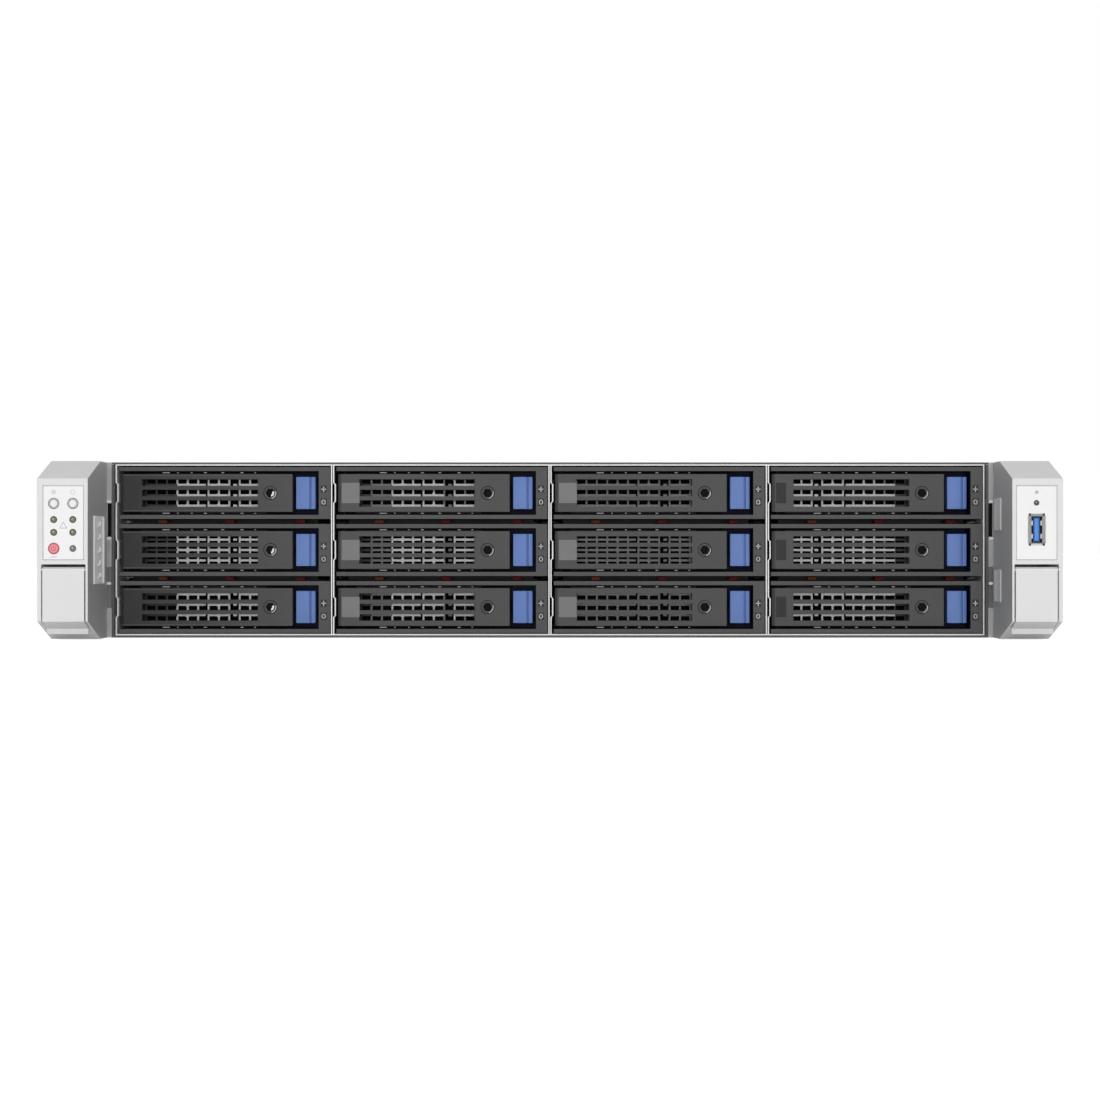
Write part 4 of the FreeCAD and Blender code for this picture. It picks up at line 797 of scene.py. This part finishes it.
def carrier_trim(i):
    """Grid behind the lever's slots, status windows with their icons, and glints along the pocket."""
    low, high = LEVER_SPAN[i]
    carrier_low, carrier_high = CARRIER_SPAN[i]
    front = carrier_low.y
    z = (low.z + high.z) / 2
    drop = GRID_DROP * ((z < MIDDLE_Z - 1) - (z > MIDDLE_Z + 1))
    piece = Piece()
    grid(piece, column_of(i), low.x + GRID_START, z, drop, front + BEZEL_DEPTH - GRID_SETBACK)
    status_icons(piece, carrier_high.x - STATUS_STRIP / 2 - ICON_SHIFT, front, z)
    for edge in (z + POCKET_EDGE, z - POCKET_EDGE):
        for at, length in GLINTS:
            x = low.x + at
            piece.box(x, x + length, low.y + 0.3, low.y + 2.2, edge - 0.22, edge + 0.22, "grid_mid", 0.08)
    piece.done(f"carrier_trim_{i}", f"carrier_{i}")


# ---- Drives: lid, its round boss, and screws ----
LID_OUTLINE = ((-46, 6), (46, 6), (49, 12), (49, -14), (40, -5), (-40, -5), (-49, -14), (-49, 12))
LID_SCREWS = ((-45, 14), (45, 14), (-45, 75), (45, 75), (-38, 136), (38, 136))
LID_BOSS = [(30, 0.0), (30, 0.28), (29, 0.36), (0, 0.36)]
BOSS_PLACE = (-12, 50)
RAIL_THICKNESS = 0.8
RAIL_SCREWS = (28, 70, 112)
RAIL_SCREW = [(2.1, 0.0), (2.1, 0.12), (1.7, 0.18), (0, 0.18)]


def screw_head(piece, centre, axis, radius, height):
    """A round head with a sunk drive in its middle, standing on a face."""
    profile = [(radius, 0), (radius, 0.7 * height), (0.8 * radius, height), (0.38 * radius, height),
               (0.32 * radius, 0.45 * height), (0, 0.45 * height)]
    piece.lathe(centre, axis, profile, "screw", 16)


def drive_box(i):
    """Lowest and highest corner of the drive in a carrier."""
    return next((low, high) for low, high, _ in solids_of(f"carrier_{i}") if is_drive(low, high))


def drive_trim(i):
    """Lid with its boss and screws on the drive, and screws in the rails."""
    low, high = drive_box(i)
    middle = (low.x + high.x) / 2
    top = high.z
    piece = Piece()
    outline = [(middle + x, (low.y if y > 0 else high.y) + y) for x, y in LID_OUTLINE]
    piece.plate_z(outline, top - 0.3, top + 0.12, "drive_plate", 0.1)
    for x, y in LID_SCREWS:
        screw_head(piece, (middle + x, low.y + y, top), (0, 0, 1), 1.9, 0.42)
    boss = (middle + BOSS_PLACE[0], low.y + BOSS_PLACE[1], top)
    piece.lathe(boss, (0, 0, 1), LID_BOSS, "drive_plate", 40)
    screw_z = (low.z + high.z) / 2 - 6.0
    for side, face in ((1, high.x + RAIL_THICKNESS), (-1, low.x - RAIL_THICKNESS)):
        for y in RAIL_SCREWS:
            piece.lathe((face, low.y + y, screw_z), (side, 0, 0), RAIL_SCREW, "screw", 16)
    piece.done(f"drive_trim_{i}", f"carrier_{i}")


for i in range(1, CARRIERS + 1):
    lever_trim(i)
    carrier_trim(i)
    drive_trim(i)


# ---- Row gaps: light pipes on the cage ----
PIPES = ((20, "spot_orange"), (53, "spot_red"), (88, "spot_red"))
PIPE_HALF = Vector((2.2, 0.0, 0.7))
PIPE_SETBACK = 4.0
PIPE_LENGTH = 6.0


def row_pipes():
    """Small coloured ends in front of a dark strip, between the rows of each column."""
    piece = Piece()
    y = FLANGE_Y + PIPE_SETBACK
    back = y + PIPE_LENGTH
    for row in range(1, ROWS):
        z = MIDDLE_Z + (row - ROWS / 2) * ROW_PITCH
        for column in range(COLUMNS):
            left = LEVER_SPAN[column + 1][0].x
            for at, key in PIPES:
                x = left + at
                piece.bar(x, z, PIPE_HALF.x, PIPE_HALF.z, y, back, key, 0.3)
            piece.box(left + 4, left + 96, back, back + 2, z - 0.9, z + 0.9, "black", 0.2)
    piece.done("light_pipes", "chassis")


row_pipes()


# ---- Panels: lamps, rings, icons ----
LAMP_DROPS = (7.6, 13.6)
DOT_RISE = 5.4
ICON_DROP = 10.3
TRIANGLE = ((-1.7, -1.3), (0, 1.5), (1.7, -1.3))
STROKE_HALF = 0.16
PLATE_HALF_WIDTH = 9.5
PLATE_HALF_HEIGHT = 17.4
PLATE_CORNER = 0.8
RED_LAMP_Z = 65.2
USB_MARK_Z = 70.2


def lamp(piece, x, z, radius, key, rim):
    """A small lens in a dark rim on the plate, with a pale glint."""
    centre = (x, PLATE_Y, z)
    rim_profile = [(radius, -0.2), (radius, 0.05), (0.8 * radius, 0.12), (0.7 * radius, 0.0)]
    lens_profile = [(0.72 * radius, 0.0), (0.6 * radius, 0.14), (0.3 * radius, 0.22), (0, 0.24)]
    piece.lathe(centre, (0, -1, 0), rim_profile, rim, 24)
    piece.lathe(centre, (0, -1, 0), lens_profile, key, 24)
    glint = circle(x - 0.16 * radius, z + 0.2 * radius, 0.2 * radius, 12)
    piece.plate_y(glint, PLATE_Y - 0.28, PLATE_Y - 0.2, "print_and_glint")


def triangle_icon(piece, x, z):
    """Three thin strokes between the corners of a triangle."""
    corners = [Vector((x + across, z + rise)) for across, rise in TRIANGLE]
    for one, two in zip(corners, corners[1:] + corners[:1]):
        along = (two - one).normalized()
        across = Vector((-along.y, along.x)) * STROKE_HALF
        outline = [tuple(point) for point in (one - across, two - across, two + across, one + across)]
        piece.plate_y(outline, PLATE_Y - 0.03, PLATE_Y + 0.05, "lavender")


def plate_outline(piece, centre):
    """A thin grey line just inside the plate's edge."""
    y0 = PLATE_Y - 0.04
    y1 = PLATE_Y + 0.1
    half_width = PLATE_HALF_WIDTH - PLATE_CORNER
    half_height = PLATE_HALF_HEIGHT - PLATE_CORNER
    for side in (1, -1):
        x = centre + side * PLATE_HALF_WIDTH
        z = PANEL_Z + side * PLATE_HALF_HEIGHT
        piece.bar(x, PANEL_Z, STROKE_HALF, half_height, y0, y1, "line")
        piece.bar(centre, z, half_width, STROKE_HALF, y0, y1, "line")


def usb_trim(piece, x):
    """Bright tongue, springs, and the dark corners of the cut-out round the front socket in painted shade.
    """
    y = PLATE_Y
    piece.bar(x, USB_Z, 1.1, 5.3, y + 0.35, y + 0.7, "usb_blue", 0.15)
    for side in (1, -1):
        spring = x + side * 2.15
        for z in (USB_Z + 3.1, USB_Z - 3.1):
            piece.bar(spring, z, 0.3, 1.3, y - 0.1, y + 0.9, "grid", 0.25)
        corner = x + side * 3.3
        for z in (USB_Z + 7.0, USB_Z - 7.0):
            # Painted shade in the cut-out's corners.
            piece.bar(corner, z, 0.5, 0.6, y - 0.32, y - 0.18, "dark_window_and_corner", 0.05)
        edge = x + side * 3.95
        piece.bar(edge, USB_Z, 0.14, 6.4, y - 0.28, y - 0.15, "usb")
    piece.box(x - 2.6, x + 2.6, y - 0.3, y - 0.15, USB_Z - 7.5, USB_Z - 6.9, "grid", 0.05)


def key_caps():
    """Rings on the two round buttons, and a ring with the power symbol on the red one."""
    for name, middle in KEYS.items():
        front = span(name)[0].y
        cap = Piece()
        ring_y(cap, middle.x, KEY_Z, front - 0.06, front + 0.1, 1.92, 1.72, "ring")
        ring_y(cap, middle.x, KEY_Z, front - 0.02, front + 0.2, 2.2, 2.1, "line")
        cap.done(name + "_ring", name)
    x = POWER.x
    z = POWER.z
    front = span("power_button")[0].y
    cap = Piece()
    ring_y(cap, x, z, front - 0.04, front + 0.1, 2.42, 2.1, "red_deep")
    cap.plate_y(arc_band(x, z, 1.15, 0.92, 125, 415, skew=5), front - 0.05, front + 0.05, "red_deep")
    cap.box(x - 0.12, x + 0.12, front - 0.05, front + 0.05, z + 0.2, z + 1.35, "red_deep")
    cap.done("power_symbol", "power_button")


def panels():
    """What is printed on or set in the two plates."""
    x0, x1 = (middle.x for middle in KEYS.values())
    left = (x0 + x1) / 2
    right = -left
    y = PLATE_Y
    dot_z = KEY_Z + DOT_RISE
    piece = Piece()
    for x in (x0, x1):
        ring_y(piece, x, KEY_Z, y - 0.1, y + 0.2, 2.62, 2.42, "ring")
        for drop in LAMP_DROPS:
            lamp(piece, x, KEY_Z - drop, 1.65, "amber", "amber_rim")
        dot = [(1.1, -0.1), (1.1, 0.03), (0.9, 0.03), (0.9, -0.1)]
        piece.lathe((x, y, dot_z), (0, -1, 0), dot, "lavender", 20)
    piece.bar(x0, dot_z, 0.4, 0.4, y - 0.03, y + 0.05, "lavender")
    lamp(piece, x1, POWER.z, 1.6, "lamp_grey", "ring")
    ring_y(piece, x0, POWER.z, y - 0.05, y + 0.2, 2.75, 2.6, "line")
    triangle_icon(piece, left, KEY_Z - ICON_DROP)
    piece.box(x0 - 1.6, x0 + 1.6, y - 0.03, y + 0.05, POWER.z - 4.1, POWER.z - 3.8, "lavender")
    for centre in (left, right):
        plate_outline(piece, centre)
    lamp(piece, right - 0.1, RED_LAMP_Z, 1.35, "lamp_red", "ring")
    mark = [(0.8, -0.1), (0.8, 0.04), (0, 0.06)]
    piece.lathe((right, y, USB_MARK_Z), (0, -1, 0), mark, "lavender", 16)
    usb_trim(piece, right)
    piece.done("panel_details", "chassis")


panels()
key_caps()


# ---- Ears' inner sides and brackets ----
STRIP_BACK = FLANGE_Y - 10.3
STRIP_HALF = 16.2
STRIP_EDGE = 1.0
NOTCHES = 5
NOTCH_PITCH = 6.2
NOTCH_LINE = 0.8
NOTCH_LENGTH = 3.5
RIB_BACK = FLANGE_Y - 7.2
RIB_OFFSET = 17.3
RIB_HALF = 7.7
# Heights of the bracket's two openings beside the case, from the middle.
SLIT_HIGH = (6.4, 23.0)
SLIT_LOW = (-28.4, -8.3)
SLIT_BRIDGE = 0.7
BRIDGES = (SLIT_HIGH[1] + SLIT_BRIDGE, SLIT_HIGH[0] - SLIT_BRIDGE, SLIT_LOW[0] + 12.0)


def side_box(piece, side, x0, x1, y0, y1, z0, z1, key, bevel=0.0):
    """A box on the +X side, or its mirror image on the other side."""
    low, high = sorted((side * x0, side * x1))
    piece.box(low, high, y0, y1, z0, z1, key, bevel)


def notch(piece, z):
    """An angled mark on the left ear's strip: a level bar and a short upright one."""
    x0 = EAR_INNER - 1.3
    x1 = EAR_INNER - 0.5
    y1 = STRIP_BACK - 7.0
    side_box(piece, -1, x0, x1, y1 - NOTCH_LENGTH, y1, z - 1.3, z - 0.6, "ear", 0.15)
    side_box(piece, -1, x0, x1, y1 - NOTCH_LINE, y1, z - 1.3, z + 1.4, "ear", 0.15)


def ear_trim():
    """The left ear's strip and notches, the right ear's ribs, and the brackets' bridges in the slit,
    painted pale as highlights.
    """
    piece = Piece()
    side_box(piece, -1, EAR_INNER - 1.4, EAR_INNER, STRIP_BACK - STRIP_EDGE, STRIP_BACK,
             MIDDLE_Z - STRIP_HALF, MIDDLE_Z + STRIP_HALF, "flap_lip", 0.2)
    for i in range(NOTCHES):
        notch(piece, MIDDLE_Z + (i - (NOTCHES - 1) / 2) * NOTCH_PITCH)
    for z in (MIDDLE_Z + RIB_OFFSET, MIDDLE_Z - RIB_OFFSET):
        side_box(piece, 1, EAR_INNER - 1.3, EAR_INNER, RIB_BACK - 0.9, RIB_BACK,
                 z - RIB_HALF, z + RIB_HALF, "line", 0.2)
    x0 = CASE_HIGH.x + 0.1
    x1 = EAR_INNER - 0.05
    for side in (1, -1):
        # The plate set back in the lower slit is painted in shade.
        side_box(piece, side, x0, x1, FLANGE_Y + 0.8, FLANGE_Y + 1.8,
                 MIDDLE_Z + SLIT_LOW[0], MIDDLE_Z + SLIT_LOW[1], "bracket_shade", 0.2)
        # The bridges take the ear's pale finish as a painted highlight on the bracket.
        for edge in BRIDGES:
            z = MIDDLE_Z + edge
            side_box(piece, side, x0, x1, FLANGE_Y - 1.2, FLANGE_Y + 2.7,
                     z - SLIT_BRIDGE, z + SLIT_BRIDGE, "ear", 0.3)
    piece.done("ear_trim", "chassis")


# ---- Fasteners on the covers and sides ----
COVER_SCREWS = (-196.0, -98.0, 0.0, 98.0, 196.0)
STUDS = (-230.0, 10.0, 250.0)
STUD = [(4.2, 0), (4.2, 1.0), (2.5, 1.0), (2.5, 3.2), (3.7, 3.4), (3.7, 4.2), (3.2, 4.6), (0, 4.6)]
RIVETS = (-215.0, -130.0, -45.0, 40.0, 125.0, 210.0, 295.0, 340.0)
RIVET = [(2.1, 0), (1.9, 0.4), (1.2, 0.75), (0, 0.85)]
PAD_SETBACK = 30.0
PAD_DEPTH = 24.0
PAD_REACH = 30.0
PAD_RIDGES = 5


def cover_screws():
    """A row of screws along each end of the front cover."""
    piece = Piece()
    for x in COVER_SCREWS:
        for y in (FLANGE_Y + 14, SEAM_Y - 10):
            screw_head(piece, (x, y, COVER_TOP), (0, 0, 1), 2.6, 0.35)
    piece.done("cover_screws", "chassis")


def thumb_ridges():
    """Ridges in the two sunk pads that push the rear cover back."""
    front = span("rear_cover")[0].y + PAD_SETBACK
    piece = Piece()
    for side in (1, -1):
        x = side * CASE_HIGH.x / 2
        for i in range(PAD_RIDGES):
            y = front + PAD_DEPTH * (i + 0.5) / PAD_RIDGES
            piece.bar(x, COVER_TOP - 0.35, PAD_REACH, 0.25, y - 0.9, y + 0.9, "cover", 0.2)
    piece.done("thumb_ridges", "rear_cover")


def side_trim():
    """Studs that hang in the rack's rails, and rivets along the top and bottom of each side."""
    piece = Piece()
    for side in (1, -1):
        x = side * CASE_HIGH.x
        axis = (side, 0, 0)
        for y in STUDS:
            piece.lathe((x, y, MIDDLE_Z), axis, STUD, "screw", 24)
        for y in RIVETS:
            for z in (9.0, COVER_TOP - 10.0):
                piece.lathe((x, y, z), axis, RIVET, "rail", 16)
    piece.done("side_studs", "chassis")


# ---- Rear: sockets, slot screws, supplies ----
RISER_COLUMNS = (-71.5, 60.5)
WALL_SCREWS = ((CASE_LOW.x + 7, 12), (CASE_LOW.x + 7, COVER_TOP - 12), (96, 8), (-10, 8), (30, 8))
PORT_WALL = 1.0
CONTACTS = 8
CONTACT_PITCH = 1.02
# Half of the insert's outline, from its bottom to its top.
INSERT_HALF = ((7.4, -3.9), (8.4, -3.0), (8.8, 3.0), (8.0, 3.9))
PIN_PITCH = 2.3
PIN_ROWS = ((-2.3, 0.0), (0.0, 1.15), (2.3, 0.0))
PINS = 5
POST_OFFSET = 11.4


def network_socket(piece, low, high):
    """Contacts, a dark back and two small lamps inside a metal-shelled socket."""
    x = (low.x + high.x) / 2
    top = high.z - PORT_WALL
    piece.box(low.x + 1.1, high.x - 1.1, low.y + 0.6, low.y + 2.6, low.z + 1.1, high.z - 1.1, "black")
    wire = [
        (low.y + 3, top - 0.5), (high.y - 4, top - 3.2), (high.y - 3.8, top - 3.5), (low.y + 3, top - 0.9),
    ]
    for i in range(CONTACTS):
        at = x + (i - (CONTACTS - 1) / 2) * CONTACT_PITCH
        piece.plate_x(wire, at - 0.25, at + 0.25, "gold")
    for side, key in ((1, "green_lamp"), (-1, "spot_orange")):
        at = x + side * 5.0
        piece.box(at - 1.4, at + 1.4, high.y - 1.6, high.y - 0.3, low.z + 1.2, low.z + 2.8, key, 0.1)


def video_socket(piece, low, high):
    """A blue D-shaped insert with pin holes between two hexagonal posts."""
    x = (low.x + high.x) / 2
    z = (low.z + high.z) / 2
    right = [(x + across, z + rise) for across, rise in INSERT_HALF]
    left = [(x - across, z + rise) for across, rise in reversed(INSERT_HALF)]
    piece.plate_y(right + left, low.y + 2, high.y - 0.6, "video_blue", 0.2)
    for rise, shift in PIN_ROWS:
        for i in range(PINS):
            at = x + (i - (PINS - 1) / 2) * PIN_PITCH + shift
            # Pin holes are painted near black as painted shade.
            piece.plate_y(circle(at, z + rise, 0.45, 10), high.y - 0.7, high.y - 0.55, "hole_shade")
    for at in (x + POST_OFFSET, x - POST_OFFSET):
        piece.plate_y(circle(at, z, 2.4, 6), high.y - 2, high.y + 4.2, "screw", 0.2)
        # The posts' holes are painted near black as painted shade.
        piece.plate_y(circle(at, z, 1.2, 16), high.y + 4.15, high.y + 4.25, "hole_shade")


def rear_ports(piece):
    for low, high, _ in solids_of("mainboard"):
        size = high - low
        if high.y > REAR_Y - 1 and size.z > 10 and size.x < 35:
            details = video_socket if size.x > 25 else network_socket
            details(piece, low, high)


def slot_trim(piece):
    """A pull tab and a screw on each slot cover, and screws between the columns of slots."""
    covers = [(low, high) for low, high, _ in solids_of("riser_cages") if high.y - low.y < 2]
    for z in sorted({round((low.z + high.z) / 2, 1) for low, high in covers}):
        for x in RISER_COLUMNS:
            screw_head(piece, (x, REAR_Y, z), (0, 1, 0), 2.8, 1.3)
    for low, high in covers:
        z = (low.z + high.z) / 2
        piece.box(low.x + 4, low.x + 13, REAR_Y - 0.1, REAR_Y + 0.7, z - 3.4, z + 3.4, "bracket", 0.3)
        screw_head(piece, (low.x + 8.5, REAR_Y + 0.7, z), (0, 1, 0), 2.2, 0.8)


def rear_trim():
    piece = Piece()
    rear_ports(piece)
    slot_trim(piece)
    for x, z in WALL_SCREWS:
        screw_head(piece, (x, REAR_Y, z), (0, 1, 0), 2.0, 0.8)
    piece.done("rear_trim", "chassis")


SUPPLY_LAMP = (9.0, 14.5)
LAMP_RIM = [(1.8, -0.1), (1.8, 0.3), (1.4, 0.4), (1.3, 0.2)]
LAMP_LENS = [(1.3, 0.2), (1.0, 0.5), (0.5, 0.65), (0, 0.7)]
CORNER = Vector((3.5, 0.0, 16.8))
LOOP_FROM_SIDE = 19.0
LOOP_BAR_OFFSET = 12.5
LOOP_RIDGE_RISE = 3.0


def supply_trim(i):
    """Lamp, corner screws, the inlet's rim, and ridges on the bars of the pull loop."""
    low, high = span(f"power_supply_{i}")
    z = (low.z + high.z) / 2
    y0 = REAR_Y - 0.1
    y1 = REAR_Y + 0.7
    piece = Piece()
    lamp_place = (low.x + SUPPLY_LAMP[0], REAR_Y, z + SUPPLY_LAMP[1])
    piece.lathe(lamp_place, (0, 1, 0), LAMP_RIM, "pull", 20)
    piece.lathe(lamp_place, (0, 1, 0), LAMP_LENS, "green_lamp", 20)
    for x in (low.x + CORNER.x, high.x - CORNER.x):
        for rise in (CORNER.z, -CORNER.z):
            screw_head(piece, (x, REAR_Y, z + rise), (0, 1, 0), 1.6, 0.6)
    inlet_x = inlet_middle(low)
    for side in (1, -1):
        edge = z + side * (INLET_HALF.z + 0.9)
        piece.bar(inlet_x, edge, 14.4, 0.7, y0, y1, "black", 0.3)
        edge = inlet_x + side * (INLET_HALF.x + 0.2)
        piece.bar(edge, z, 0.7, 11.0, y0, y1, "black", 0.3)
    loop_x = high.x - LOOP_FROM_SIDE
    for ridge in (z + LOOP_RIDGE_RISE, z - LOOP_RIDGE_RISE):
        for x in (loop_x - LOOP_BAR_OFFSET, loop_x + LOOP_BAR_OFFSET):
            piece.bar(x, ridge, 2.0, 0.3, REAR_Y + 3, REAR_Y + 15, "black", 0.1)
    piece.done(f"supply_trim_{i}", f"power_supply_{i}")


ear_trim()
cover_screws()
thumb_ridges()
side_trim()
rear_trim()
for i in range(1, SUPPLIES + 1):
    supply_trim(i)


# ---- Floor, light and camera ----
def background_rays(tree):
    """1 for rays of the camera, of reflections and through glass, which see the white background."""
    path = node(tree, "LightPath", {})
    seen = path.outputs["Is Camera Ray"]
    for kind in ("Is Glossy Ray", "Is Transmission Ray"):
        either = node(tree, "Math", {0: seen, 1: path.outputs[kind]}, operation="MAXIMUM")
        seen = either.outputs[0]
    return seen


FLOOR_REACH = 12.0
FLOOR_DROP = 0.0006
FLOOR_TONE = 0.86
FLOOR_GLOW = 0.82


def stage_floor():
    data = bpy.data.meshes.new("floor")
    mesh = bmesh.new()
    signs = ((-1, -1), (1, -1), (1, 1), (-1, 1))
    mesh.faces.new([mesh.verts.new((x * FLOOR_REACH, y * FLOOR_REACH, 0)) for x, y in signs])
    mesh.to_mesh(data)
    mesh.free()
    floor = add_object("floor", data)
    floor.location.z = -FLOOR_DROP
    made, tree, shader = add_material("floor_white")
    glow = node(tree, "Math", {0: background_rays(tree), 1: FLOOR_GLOW}, operation="MULTIPLY")
    feed(tree, shader, {"Base Color": (FLOOR_TONE, FLOOR_TONE, FLOOR_TONE, 1), "Roughness": 0.9,
                        "Specular IOR Level": 0.0, "Emission Color": (1, 1, 1, 1),
                        "Emission Strength": glow.outputs[0]})
    data.materials.append(made)


def world(level):
    made = bpy.data.worlds.new("studio")
    made.use_nodes = True
    tree = made.node_tree
    tree.nodes.clear()
    light = node(tree, "Background", {"Color": (1, 1, 1, 1), "Strength": level})
    shown = node(tree, "Background", {"Color": (1, 1, 1, 1), "Strength": 1.0})
    shaders = {0: background_rays(tree), 1: light.outputs[0], 2: shown.outputs[0]}
    mix = node(tree, "MixShader", shaders)
    node(tree, "OutputWorld", {0: mix.outputs[0]})
    bpy.context.scene.world = made


def softbox(name, place, target, size, power, mirrored=True):
    """A square lamp; an unmirrored one lights without showing its own reflection in sheet metal."""
    data = bpy.data.lights.new(name, "AREA")
    data.shape = "SQUARE"
    data.size = size
    data.energy = power
    made = add_object(name, data)
    made.visible_glossy = mirrored
    made.location = place
    made.rotation_euler = (Vector(target) - Vector(place)).to_track_quat("-Z", "Y").to_euler()


CAMERA_PLACE = (0.0, -1.256, 0.043)
CAMERA_LENS = 61.4


def camera():
    data = bpy.data.cameras.new("camera")
    data.sensor_width = 36.0
    data.lens = CAMERA_LENS
    made = add_object("camera", data)
    made.location = CAMERA_PLACE
    made.rotation_euler = (math.radians(90), 0, 0)
    data.clip_start = 0.01
    data.clip_end = 60
    bpy.context.scene.camera = made


WORLD_LEVEL = 0.26
CENTRE = (0, 0, 0.04)
stage_floor()
world(WORLD_LEVEL)
softbox("front_softbox", (0.0, -2.6, 0.42), (0, -0.3, 0.04), size=1.5, power=34, mirrored=False)
softbox("top_softbox", (0.0, -0.1, 2.2), CENTRE, size=2.0, power=11)
softbox("left_softbox", (-2.2, 0.2, 0.9), CENTRE, size=1.4, power=9)
softbox("right_softbox", (2.2, 0.2, 0.9), CENTRE, size=1.4, power=9)
softbox("rear_softbox", (0.0, 2.4, 0.9), (0, 0.3, 0.04), size=1.6, power=16, mirrored=False)
camera()
bpy.context.scene.view_settings.view_transform = "Standard"
